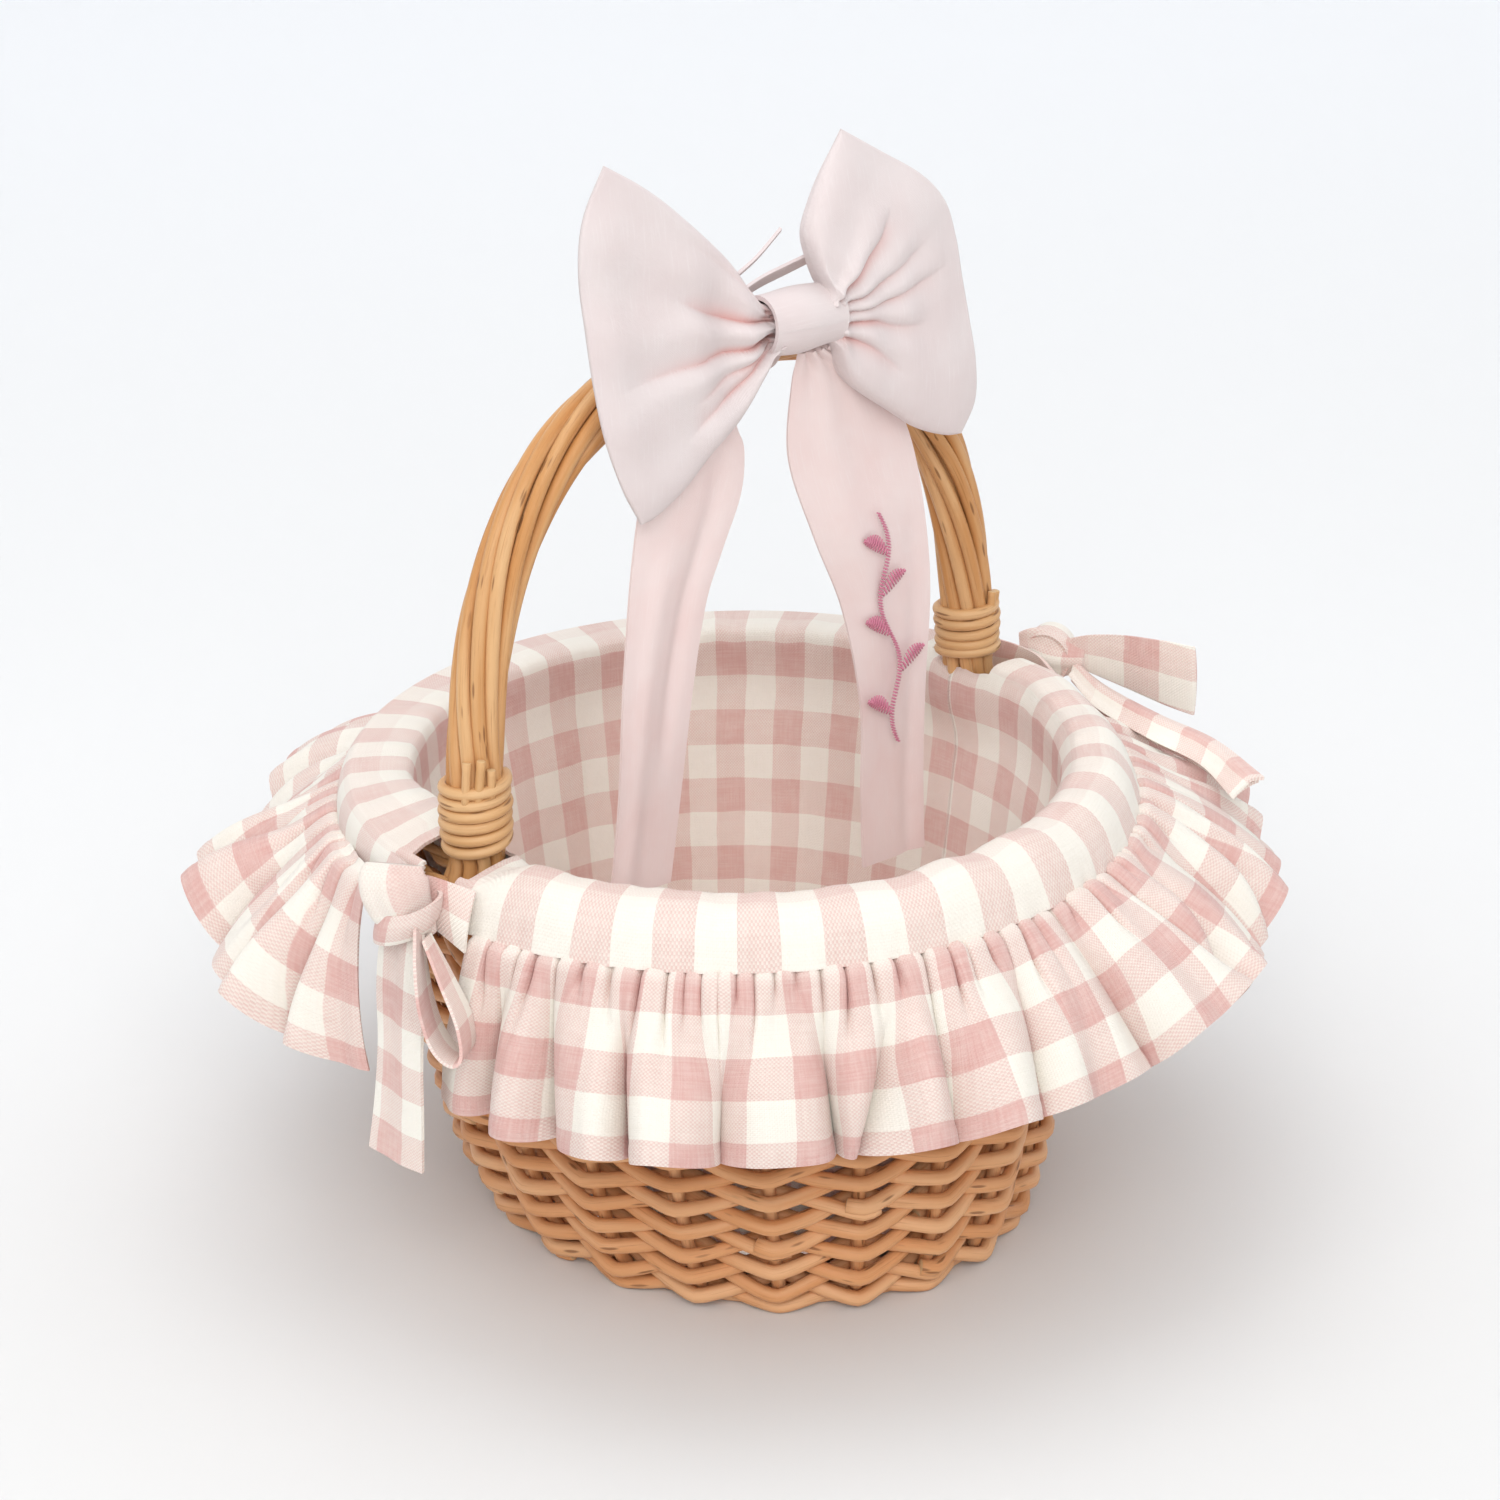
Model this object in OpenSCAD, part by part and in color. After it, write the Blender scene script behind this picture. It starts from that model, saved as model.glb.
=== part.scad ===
// Willow basket with an arched handle, a gathered fabric liner and a ribbon bow.
// Z is up, the handle runs along X, and the origin is the centre of the base on the floor.

/* [Wicker] */
// Height of the woven wall, up to the border
wall_h = 158; // [150:1:166]
// Half width of the base along the handle
base_rx = 76; // [74:1:80]
// Half length of the base across the handle
base_ry = 97; // [95:1:102]
// Half width of the rim along the handle
rim_rx = 121; // [118:1:123]
// Half length of the rim across the handle
rim_ry = 128; // [126:1:130]
// How quickly the wall flares near the base
flare_power = 0.45; // [0.42:0.01:0.5]
// Upright stakes around the wall, an even number
stake_count = 22; // [18:2:22]
// Radius of a stake
stake_r = 2.2; // [1.8:0.1:2.2]
// Radius of a weaver
weaver_r = 2.2; // [1.8:0.1:2.2]
// Height between two rows of weaving
row_pitch = 5.1; // [5:0.05:5.3]
// Rows of weaving in each of the three bands
rows_per_band = 9; // [7:1:9]

/* [Handle] */
// Half span of the handle between its feet
handle_half = 115; // [112:1:116]
// Height of the handle's centre line at the top
handle_top = 316; // [300:1:330]
// Radius of the core rod inside the handle
core_r = 4.6; // [4:0.1:4.8]
// Rods roped around the core
rod_count = 9; // [6:1:9]
// Radius of one roped rod
rod_r = 2.2; // [1.9:0.1:2.2]
// Turns that each rod makes around the core
rod_turns = 1.25; // [0.5:0.25:1.5]
// Radius of the cane that binds each foot
cane_r = 1.9; // [1.6:0.1:2]

/* [Liner] */
// Thickness of the liner cloth
cloth_t = 2.2; // [1.8:0.1:2.2]
// Height of the rolled edge above the floor
crest_h = 172; // [168:1:174]
// Height of the seam between the edge and the ruffle
seam_h = 152; // [148:1:154]
// Fall of the ruffle's cloth from the seam to the hem
ruffle_fall = 62; // [56:1:64]
// Gathers in each half of the ruffle
gathers = 12; // [8:1:12]

/* [Bow] */
// Width of the wing's open end
wing_h = 116; // [100:1:120]
// Reach of the left wing from the knot
left_reach = 85; // [76:1:88]
// Reach of the right wing from the knot
right_reach = 71; // [64:1:76]
// Drop of the tails below the knot
tail_drop = 212; // [190:1:214]

/* [Hidden] */

willow = "burlywood";
willow_dark = "peru";
gingham = "pink";
gingham_pale = "mistyrose";
ribbon = "lavenderblush";
thread = "palevioletred";

gap = 0.3;                                   // clearance between neighbouring pieces
base_z = 8;                                  // middle of the base weaving above the floor
swing = stake_r + weaver_r + 0.4;            // how far a weaver steps off the wall's middle
spoke_end = 0.965;                           // spokes stop just short of the stakes
first_row = 13.3;                             // height of the first row of the wall
row_count = 3 * rows_per_band;
stake_low = 8;                               // height where the stakes start
leg_foot = 54;                               // the handle's legs reach down to here
rope_r = core_r + rod_r + 0.3;               // centres of the roped rods
rope_outer = rope_r + rod_r;                 // outer radius of the roped handle
bind_r = rope_outer + cane_r + 0.2;          // centre line of the binding cane
foot_z = 164;                                // the roped rods start here
arch_power = 0.78;                           // squareness of the arch
arch_foot = 160;                             // height where the arch's curve starts
slit = 9;                                    // half angle left open around each handle foot

// ---- helpers ----
function mix(a, b, t) = a + (b - a) * t;
function unit(v) = v / norm(v);

// Circle of points around p in the plane of u and v
function ring(p, u, v, r, n) =
    [for (i = [0:n - 1]) p + r * (cos(360 * i / n) * u + sin(360 * i / n) * v)];

// Skin a list of rings into one closed solid
module skin(rings, loop = false) {
    m = len(rings);
    n = len(rings[0]);
    spans = loop ? m : m - 1;
    sides = [for (k = [0:spans - 1]) for (i = [0:n - 1])
        let (j = (i + 1) % n, a = k * n, b = ((k + 1) % m) * n)
        each [[a + i, b + i, b + j], [a + i, b + j, a + j]]];
    ends = loop ? [] : [[for (i = [0:n - 1]) i], [for (i = [n - 1:-1:0]) (m - 1) * n + i]];
    polyhedron([for (r = rings) each r], concat(sides, ends), convexity = 10);
}

// Round rod along points; side is a direction that is never along the rod
module rod(points, radii, side, n = 5, loop = false) {
    m = len(points);
    skin([for (k = [0:m - 1])
        let (back = loop ? (k + m - 1) % m : max(k - 1, 0),
             ahead = loop ? (k + 1) % m : min(k + 1, m - 1),
             t = unit(points[ahead] - points[back]),
             s = is_list(side[0]) ? side[k] : side,
             u = unit(cross(cross(t, s), t)),
             v = cross(t, u))
        ring(points[k], u, v, is_list(radii) ? radii[k] : radii, n)], loop);
}

// Closed sheet between two grids of points
module slab(top, under, loop = false) {
    m = len(top);
    n = len(top[0]);
    spans = loop ? m : m - 1;
    size = m * n;
    rims = [for (k = [0:spans - 1])
        let (a = k * n, b = ((k + 1) % m) * n)
        each [[a, b, size + b], [a, size + b, size + a],
            [b + n - 1, a + n - 1, size + a + n - 1],
            [b + n - 1, size + a + n - 1, size + b + n - 1]]];
    faces = [for (k = [0:spans - 1]) for (i = [0:n - 2])
        let (a = k * n + i, b = ((k + 1) % m) * n + i)
        each [[a, a + 1, b + 1], [a, b + 1, b],
            [size + a, size + b + 1, size + a + 1], [size + a, size + b, size + b + 1]]];
    e = (m - 1) * n;
    ends = loop ? [] : [for (i = [0:n - 2])
        each [[i + 1, i, size + i], [i + 1, size + i, size + i + 1],
            [e + i, e + i + 1, size + e + i + 1], [e + i, size + e + i + 1, size + e + i]]];
    polyhedron([for (g = [top, under]) for (r = g) each r], concat(faces, rims, ends),
        convexity = 10);
}

// ---- the wall's middle surface ----
function flare(z) = pow(z / wall_h, flare_power);
function wall_rx(z) = mix(base_rx, rim_rx, flare(z));
function wall_ry(z) = mix(base_ry, rim_ry, flare(z));
function wall_slope(z) = (rim_rx - base_rx) * flare_power / wall_h * pow(z / wall_h, flare_power - 1);
function oval_normal(rx, ry, a) = unit([cos(a) / rx, sin(a) / ry, 0]);

// Unit vector out of the wall at height z and angle a
function wall_normal(z, a) =
    unit(oval_normal(wall_rx(z), wall_ry(z), a) - [0, 0, wall_slope(z)]);

// Point off the wall's middle surface at height z and angle a
function wall_point(z, a, off = 0) =
    [wall_rx(z) * cos(a), wall_ry(z) * sin(a), z] + off * wall_normal(z, a);

// Point of an oval ring
function oval(rx, ry, z, a) = [rx * cos(a), ry * sin(a), z];

function stake_angle(k) = 360 * k / stake_count;

// A weaver passes in front of one stake and behind the next; row parity swaps them
function weave_side(i, row) = i % 2 == 1 ? 0 : ((i / 2 + row) % 2 == 0 ? 1 : -1);

// ---- wicker ----
module base_slath() {
    color(willow_dark)
    for (i = [-2:2]) {
        translate([-22, i * 2.3 * stake_r, base_z + stake_r + 0.1])
            rotate([0, 90, 0]) cylinder(r = stake_r, h = 44, $fn = 24);
        translate([i * 2.3 * stake_r, -22, base_z - stake_r - 0.1])
            rotate([-90, 0, 0]) cylinder(r = stake_r, h = 44, $fn = 24);
    }
}

// Point of the base at angle a, where t runs from 0 at a spoke's inner end to 1 at its outer end
function base_point(a, t, z) =
    oval(mix(27, wall_rx(stake_low) * spoke_end, t), mix(29, wall_ry(stake_low) * spoke_end, t), z, a);

module base_spokes() {
    color(willow_dark)
    for (k = [0:stake_count - 1]) {
        near = base_point(stake_angle(k), 0, base_z);
        reach = base_point(stake_angle(k), 1, base_z) - near;
        translate(near)
            rotate([0, 90, atan2(reach.y, reach.x)])
                cylinder(r = stake_r, h = norm(reach), $fn = 24);
    }
}

// The weavers grow from fine cane near the middle to full willow at the edge
module base_weave() {
    rings = 5;
    inner = 0.25;
    outer = 0.8;
    fine = 1.1;
    coarse = 1.9;
    step = 5.2;
    color(willow)
    for (row = [0:rings - 1]) {
        grown = row / (rings - 1);
        rod([for (i = [0:2 * stake_count - 1])
            base_point(stake_angle(i / 2), mix(inner, outer, grown),
                base_z + step * weave_side(i, row))],
            mix(fine, coarse, grown), [0, 0, 1], 4, true);
    }
}

module foot_ring() {
    function outline(rx, ry) = [for (a = [0:7.5:352.5]) [rx * cos(a), ry * sin(a)]];
    color(willow_dark)
    linear_extrude(5.4)
    difference() {
        polygon(outline(base_rx + 8, base_ry + 4));
        polygon(outline(base_rx + 2, base_ry - 2));
    }
}

module side_stakes() {
    heights = [stake_low, 10, 13, 18, 27, 45, 75, 112, wall_h - 2];
    color(willow)
    for (k = [0:stake_count - 1]) {
        beside_leg = k % (stake_count / 2) == 0;
        top = beside_leg ? leg_foot - 3 : wall_h - 2;
        path = [for (z = heights) if (z < top) wall_point(z, stake_angle(k)),
            wall_point(top, stake_angle(k))];
        rod(path, stake_r, [-sin(stake_angle(k)), cos(stake_angle(k)), 0], 5);
    }
}

module weave_band(first) {
    color(willow)
    for (row = [first:first + rows_per_band - 1]) {
        z = first_row + row * row_pitch;
        rod([for (i = [0:2 * stake_count - 1])
            wall_point(z, stake_angle(i / 2), swing * weave_side(i, row))],
            weaver_r, [for (i = [0:2 * stake_count - 1]) wall_normal(z, stake_angle(i / 2))],
            5, true);
    }
}

module lower_weave() { weave_band(0); }
module middle_weave() { weave_band(rows_per_band); }
module upper_weave() { weave_band(2 * rows_per_band); }

// side is -1 for the rod inside the stakes and 1 for the rod outside them
module border_ring(side) {
    r = 2.3;
    color(willow_dark)
    rod([for (a = [0:8:352]) wall_point(wall_h, a, side * (stake_r + r + 0.2))],
        r, [0, 0, 1], 6, true);
}

module inner_border() { border_ring(-1); }
module outer_border() { border_ring(1); }

// ---- handle ----
// Centre line of the arch; t runs from 0 at the right foot to 180 at the left
function arch_point(t) =
    [handle_half * sign(cos(t)) * pow(abs(cos(t)), arch_power), 0,
        arch_foot + (handle_top - arch_foot) * pow(sin(t), arch_power)];
function arch_tangent(t) = unit(arch_point(t + 0.05) - arch_point(t - 0.05));
function arch_normal(t) = cross(arch_tangent(t), [0, 1, 0]);
// Angle of the arch where it leaves the height z
function arch_start(z) = asin(pow((z - arch_foot) / (handle_top - arch_foot), 1 / arch_power));

module handle_core() {
    low = arch_start(foot_z + 2);
    leg = [for (z = [leg_foot, 85, 120, 150, foot_z - 3]) [wall_rx(min(z, wall_h)), 0, z]];
    arch = [for (i = [0:24]) arch_point(mix(low, 180 - low, i / 24))];
    left_leg = [for (i = [len(leg) - 1:-1:0]) [-leg[i].x, 0, leg[i].z]];
    radii = concat([for (p = leg) stake_r], [for (p = arch) core_r], [for (p = leg) stake_r]);
    color(willow_dark)
    rod(concat(leg, arch, left_leg), radii, [0, 1, 0], 8);
}

module handle_rods() {
    low = arch_start(foot_z + 1.5);
    steps = 22;
    color(willow)
    for (i = [0:rod_count - 1])
        rod([for (k = [0:steps])
            let (t = mix(low, 180 - low, k / steps),
                 a = 360 * (i / rod_count + rod_turns * k / steps))
            arch_point(t) + rope_r * (cos(a) * arch_normal(t) + sin(a) * [0, 1, 0])],
            rod_r, [0, 1, 0.3], 5);
}

module binding(side, low, turns) {
    color(willow_dark)
    for (i = [0:turns - 1]) {
        z = low + i * (2 * cane_r + 0.05);
        at = arch_point(arch_start(z));
        translate([side * at.x, 0, z])
            rotate_extrude($fn = 48) translate([bind_r, 0]) circle(r = cane_r, $fn = 16);
    }
}

module left_binding() { binding(-1, 171.5, 6); }
module right_binding() { binding(1, 173.5, 5); }

module cane_ends(side, z, lengths) {
    count = len(lengths);
    color(willow)
    for (i = [0:count - 1]) {
        a = (side > 0 ? -60 : -120) + 24 * (i - (count - 1) / 2);
        at = arch_point(arch_start(z));
        translate([side * at.x + bind_r * cos(a), bind_r * sin(a), z])
            cylinder(r1 = 1.6, r2 = 1.1, h = lengths[i], $fn = 16);
    }
}

module left_cane_ends() { cane_ends(-1, 194.2, [9, 10, 6]); }
module right_cane_ends() { cane_ends(1, 192.2, [5, 4]); }

// ---- liner ----
module liner_base() {
    color(gingham_pale)
    translate([0, 0, 15.4])
        linear_extrude(1.8) scale([wall_rx(16) - 9.2, wall_ry(16) - 7.4]) circle(r = 1, $fn = 64);
}

module liner_bag() {
    heights = [15, 25, 45, 80, 118, wall_h - 2];
    reach = swing + weaver_r + gap;
    angles = [for (i = [0:47]) 7.5 * i];
    color(gingham)
    slab([for (a = angles) [for (z = heights) wall_point(z, a, -reach)]],
        [for (a = angles) [for (z = heights) wall_point(z, a, -reach - cloth_t)]], true);
}

// Section of the rolled edge: how far out of the rim, and how high
band_section = [[-9.5, wall_h + 0.6], [-8, 165], [-4, 170.4], [0, crest_h], [7, 170.6],
    [13.4, 163.5], [17, seam_h]];

function section_normal(k) =
    let (n = len(band_section), t = unit(band_section[min(k + 1, n - 1)] - band_section[max(k - 1, 0)]))
    [-t.y, t.x];

function band_point(a, k, depth) =
    let (s = band_section[k] - depth * section_normal(k), rx = rim_rx, ry = rim_ry - 1)
    [rx * cos(a), ry * sin(a), s.y] + s.x * oval_normal(rx, ry, a);

module rim_band(from, to) {
    steps = 20;
    last = len(band_section) - 1;
    color(gingham_pale)
    slab([for (i = [0:steps]) [for (k = [0:last]) band_point(mix(from, to, i / steps), k, 0)]],
        [for (i = [0:steps]) [for (k = [0:last]) band_point(mix(from, to, i / steps), k, cloth_t)]]);
}

module front_rim_band() { rim_band(180 + slit, 360 - slit); }
module rear_rim_band() { rim_band(slit, 180 - slit); }

// How a half of the ruffle hangs, from its start to its end: [share of the way, angle from upright]
front_lean = [[0, 12], [0.12, 28], [0.3, 30], [0.5, 42], [0.65, 50], [1, 50]];
rear_lean = [[0, 50], [0.8, 52], [0.92, 42], [1, 20]];
// How far the hem is shifted along the rim: [share of the way, shift]
front_shift = [[0, 0], [0.8, 0], [1, 6]];
rear_shift = [[0, -6], [0.2, 0], [0.8, 0], [1, 11]];

// The ruffle's sheet: w runs from the seam to the hem, wave is the gather's swing
function ruffle_point(a, w, wave, lean, shift, depth) =
    let (rx = rim_rx + 18, ry = rim_ry + 17,
         n = oval_normal(rx, ry, a),
         push = (1.2 + 6.5 * w) * wave + depth,
         out = ruffle_fall * sin(lean) * w + 4 * sin(180 * w) + push * cos(lean),
         fall = ruffle_fall * cos(lean) * w - push * sin(lean))
    [rx * cos(a), ry * sin(a), seam_h - 2.6 - fall] + out * n + shift * w * [-n.y, n.x, 0];

module ruffle(from, to, leans, shifts) {
    steps = 4 * gathers;
    levels = [0, 0.33, 0.67, 1];
    grid = function (depth) [for (i = [0:steps]) let (q = i / steps) [for (w = levels)
        ruffle_point(mix(from, to, q), w, sin(90 * i), lookup(q, leans), lookup(q, shifts), depth)]];
    color(gingham) slab(grid(cloth_t / 2), grid(-cloth_t / 2));
}

module front_ruffle() { ruffle(180 + slit + 2, 360 - slit, front_lean, front_shift); }
module rear_ruffle() { ruffle(slit, 180 - slit, rear_lean, rear_shift); }

// ---- ties at the handle's feet ----
// Flat strip along points, with its width along across and its thickness along the path's normal
module strip(points, across, width, thick = 1.6) {
    m = len(points);
    normals = [for (k = [0:m - 1])
        let (t = unit(points[min(k + 1, m - 1)] - points[max(k - 1, 0)])) unit(cross(t, across))];
    offsets = [-0.5, 0, 0.5];
    slab([for (k = [0:m - 1]) [for (s = offsets)
            points[k] + s * width * across + thick / 2 * normals[k]]],
        [for (k = [0:m - 1]) [for (s = offsets)
            points[k] + s * width * across - thick / 2 * normals[k]]]);
}

tie_w = 24;                                  // width of a tie
left_knot = [-146.5, -9, 164.5];                // middle of the left knot
right_knot = [149, -9, 163];                 // middle of the right knot
knot_r = 9;

module left_tie_strap() {
    color(gingham_pale)
    strip([[-137.6, 24, 157], [-137.4, 12, 160], [-137.2, 0, 161.5], [-137.4, -12, 160.5], [-137.8, -24, 157]],
        unit([0.1, 0, 1]), 13);
}

module left_tie_knot() { color(gingham) translate(left_knot + [-1.8, 0, 0]) sphere(r = knot_r, $fn = 32); }

module left_tie_tail() {
    color(gingham)
    strip([[-155.5, -11, 152], [-157, -11, 142], [-158, -9.5, 118], [-159, -7, 92], [-160, -4, 67]],
        [0, 1, 0], tie_w);
}

module left_tie_loop() {
    color(gingham_pale)
    strip([[-154, -25, 155], [-160, -30, 140], [-158, -34, 126], [-153.5, -36, 120],
        [-151, -35.5, 127], [-153, -31, 140], [-151, -25, 153]], unit([-0.75, -0.6, 0.1]), 5, 1.2);
}

module right_tie_strap() {
    color(gingham_pale)
    strip([[137, -24, 156], [139.2, -12, 158.4], [139.2, 0, 159.4], [138.8, 12, 158.6],
        [136.6, 24, 156.6]], unit([-0.25, 0, 1]), 12);
}

module right_tie_knot() { color(gingham) translate(right_knot + [0.8, 0, 0]) sphere(r = knot_r, $fn = 32); }

module right_tie_loop() {
    color(gingham_pale)
    strip([[156, -16.5, 167], [164, -27, 168], [172, -38, 166], [180, -49, 162], [186, -58, 157]],
        unit([-0.35, -0.25, 1]), 22);
}

module right_tie_tail() {
    color(gingham)
    strip([[152, -21, 158], [152, -42, 155], [154, -64, 153], [152, -86, 152], [143, -112, 151]],
        unit([0.8, 0.3, 0.45]), 12);
}

// ---- bow ----
knot_at = [11, -25, 328];                    // middle of the bow's knot
knot_tilt = -2;                              // the knot leans with the bow
wrap_r = 10;                                 // outer radius of the knot's wrap
wrap_len = 32;                               // width of the knot's wrap
neck = 6.2;                                  // half height of a wing inside the wrap
wrapped = 0.12;                              // share of a wing's length held flat by the wrap

// Place the bow's own frame: X along the wings, Y away from the viewer, Z up
function bow_place(p, yaw) =
    knot_at + [p.x * cos(yaw) - p.y * sin(yaw), p.x * sin(yaw) + p.y * cos(yaw), p.z];

module bow_strap() {
    color(ribbon)
    translate([knot_at.x - 7, 0, 0])
        rotate([0, 90, 0]) translate([-handle_top, 0, 0])
            difference() {
                cylinder(r = rope_outer + 2.8, h = 14, $fn = 48);
                translate([0, 0, -1]) cylinder(r = rope_outer + 1.2, h = 16, $fn = 48);
            }
}

module bow_knot() {
    color(ribbon)
    translate(knot_at)
        rotate([0, 90 + knot_tilt, -5])
            difference() {
                cylinder(r = wrap_r, h = wrap_len, center = true, $fn = 48);
                cylinder(r = wrap_r - 2, h = wrap_len + 2, center = true, $fn = 48);
            }
}

// A wing is a puffed pocket from the wrap to its folded end
// s is 0 at the neck and 1 at the end, b is -1 at the lower edge and 1 at the upper
function wing_point(side, reach, s, b, face) =
    let (tip = reach * (1 - 0.17 * pow(abs(b), 2.2)),
         x = mix(9, tip, s),
         flared = max(0, s - wrapped) / (1 - wrapped),
         half = mix(neck, wing_h / 2, pow(flared, 0.95)),
         rise = side < 0 ? 6 * s : 3 * s,
         puff = (mix(5.4, 2, s) + 7 * sin(180 * min(1, 1.05 * flared))) * sqrt(max(0, 1 - b * b)))
    [side * x, face * max(puff, 0.7), half * b + rise];

module wing(side, reach, yaw) {
    stations = [0, wrapped, 0.22, 0.35, 0.5, 0.65, 0.8, 0.92, 1];
    b_steps = 10;
    grid = function (face) [for (s = stations) [for (j = [0:b_steps])
        bow_place(wing_point(side, reach, s, 2 * j / b_steps - 1, face), yaw)]];
    color(ribbon)
    if (side > 0) slab(grid(1), grid(-1));
    else slab(grid(-1), grid(1));
}

module bow_left_wing() { wing(-1, left_reach, -5); }
module bow_right_wing() { wing(1, right_reach, -10); }

// A tail hangs from under the wrap; rows hold its drop below the knot, middle and width
module bow_tail(rows) {
    thick = 1.4;
    lanes = [-0.5, 0, 0.5];
    grid = function (face) [for (r = rows) [for (s = lanes)
        bow_place([r[1] + s * r[2], face * thick / 2 + r[3], -r[0]], -5)]];
    color(ribbon) slab(grid(-1), grid(1));
}

module bow_left_tail() {
    bow_tail([[14, -10, 14, 1], [26, -15, 26, 3], [48, -40, 38, 4], [85, -51, 32, 4],
        [120, -57, 29, 4], [155, -62, 28, 4], [tail_drop - 20, -68, 27, 4]]);
}

module bow_right_tail() {
    bow_tail([[14, 8, 14, 1], [26, 18, 32, 4], [50, 26, 50, 5], [80, 32, 48, 3], [112, 39, 39, 3],
        [150, 41, 30, 3], [180, 40, 28, 3], [tail_drop, 40, 28, 3]]);
}

// A stitched sprig on the right tail: a wavy stem with a leaf at every turn
module embroidered_sprig() {
    first = 76;
    last = 164;
    face = 1.5;
    function stem_at(d) =
        [mix(33, 41, (d - first) / (last - first)) + 3 * sin(8 * (d - first)), face, -d];
    color(thread) {
        rod([for (d = [first:8:last]) bow_place(stem_at(d), -5)], 0.5, [1, 0, 0], 5);
        for (i = [1:5]) {
            side = i % 2 == 0 ? 1 : -1;
            root = stem_at(first + 15 * i) + [side * 1.6, 0, 0];
            rod([for (k = [0:4]) bow_place(root + [side * 1.7 * k, 0, 1.3 * k], -5)],
                [0.35, 0.65, 0.7, 0.6, 0.3], [0, 1, 0], 5);
        }
    }
}

base_slath();
base_spokes();
base_weave();
foot_ring();
side_stakes();
lower_weave();
middle_weave();
upper_weave();
inner_border();
outer_border();
handle_core();
handle_rods();
left_binding();
right_binding();
left_cane_ends();
right_cane_ends();
liner_base();
liner_bag();
front_rim_band();
rear_rim_band();
front_ruffle();
rear_ruffle();
left_tie_strap();
left_tie_knot();
left_tie_tail();
left_tie_loop();
right_tie_strap();
right_tie_knot();
right_tie_tail();
right_tie_loop();
bow_strap();
bow_knot();
bow_left_wing();
bow_right_wing();
bow_left_tail();
bow_right_tail();
embroidered_sprig();
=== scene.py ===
"""Looks of a gingham-lined willow basket with a ribbon bow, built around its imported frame.

Shapes are worked out in millimetres, in the frame's own axes, and stored in metres.
"""
import math

import bpy
import numpy as np
from mathutils import Matrix, Vector


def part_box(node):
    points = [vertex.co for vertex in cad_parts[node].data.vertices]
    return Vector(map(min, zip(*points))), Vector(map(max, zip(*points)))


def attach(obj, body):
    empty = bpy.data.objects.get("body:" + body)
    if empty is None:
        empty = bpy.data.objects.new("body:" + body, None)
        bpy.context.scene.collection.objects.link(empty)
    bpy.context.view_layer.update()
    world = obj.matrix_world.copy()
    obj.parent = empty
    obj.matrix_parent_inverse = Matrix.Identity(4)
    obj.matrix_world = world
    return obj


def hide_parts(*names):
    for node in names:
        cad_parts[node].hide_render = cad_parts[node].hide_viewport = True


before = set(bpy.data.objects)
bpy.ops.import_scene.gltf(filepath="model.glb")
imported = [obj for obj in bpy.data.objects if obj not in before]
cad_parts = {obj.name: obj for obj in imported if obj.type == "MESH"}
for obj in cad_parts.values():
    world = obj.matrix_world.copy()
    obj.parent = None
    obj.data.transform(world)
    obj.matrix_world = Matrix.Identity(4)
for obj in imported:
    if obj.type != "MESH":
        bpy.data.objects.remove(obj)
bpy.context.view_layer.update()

MM = 0.001
TAU = 2 * math.pi
UP = (0, 0, 1)
rng = np.random.default_rng(11)


def node_box(name):
    """Lowest and highest corner of a CAD node, in millimetres."""
    low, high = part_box(name)
    return np.array(low) / MM, np.array(high) / MM


# ---- dimensions, from the frame where a node shows them ----
BORDER_R = 2.3
STAKES = 22
ROWS_PER_BAND = 9
ROW_PITCH = 5.1
FIRST_ROW = 13.3
SWING = 5.3
BUTT_R, TIP_R = 2.85, 2.5
FLARE_POWER = 0.45
BASE_Z = 8.0
BASE_RX, BASE_RY = 76.0, 97.0
RIM_RX, RIM_RY = (node_box("outer_border")[1] + node_box("inner_border")[1])[:2] / 2 - BORDER_R
WALL_H = sum(node_box("outer_border"))[2] / 2
HANDLE_HALF = 115.0
ARCH_FOOT = 160.0
ARCH_POWER = 0.78
ROPE_R = 7.1
ROD_R = 2.2
RODS = 9
HANDLE_TOP = node_box("handle_rods")[1][2] - ROPE_R - ROD_R
CANE_R = 1.8
BIND_R = 10.3
CREST_H = node_box("front_rim_band")[1][2]
SEAM_H = 152.0
CHECK_U, CHECK_V = 0.0127, 0.0135
KNOT = sum(node_box("bow_knot")) / 2


# ---- small helpers ----
def mix(a, b, t):
    return a + (b - a) * t


def smooth(t):
    """Eases from 0 to 1 as t does."""
    t = np.clip(t, 0, 1)
    return t * t * (3 - 2 * t)


def unit(v):
    v = np.asarray(v, float)
    return v / np.linalg.norm(v, axis=-1, keepdims=True)


def hump(x, centre, width):
    """A smooth bump of height 1 at centre."""
    return np.exp(-(((x - centre) / width) ** 2))


def full_turn(count):
    """Angles of count points evenly spaced around a circle."""
    return np.linspace(0, TAU, count, endpoint=False)


def stack(*parts):
    """Points from their coordinates, which are numbers or arrays that broadcast to one shape."""
    return np.stack(np.broadcast_arrays(*parts), -1)


def lengths_along(path):
    """Length of the path up to each of its points."""
    steps = np.linalg.norm(np.diff(path, axis=0), axis=1)
    return np.concatenate([[0], np.cumsum(steps)])


def resample(path, count):
    """The same curve as count points evenly spaced along it; extra columns are carried along."""
    at = lengths_along(path[:, :3])
    wanted = np.linspace(0, at[-1], count)
    return np.column_stack([np.interp(wanted, at, column) for column in path.T])


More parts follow.
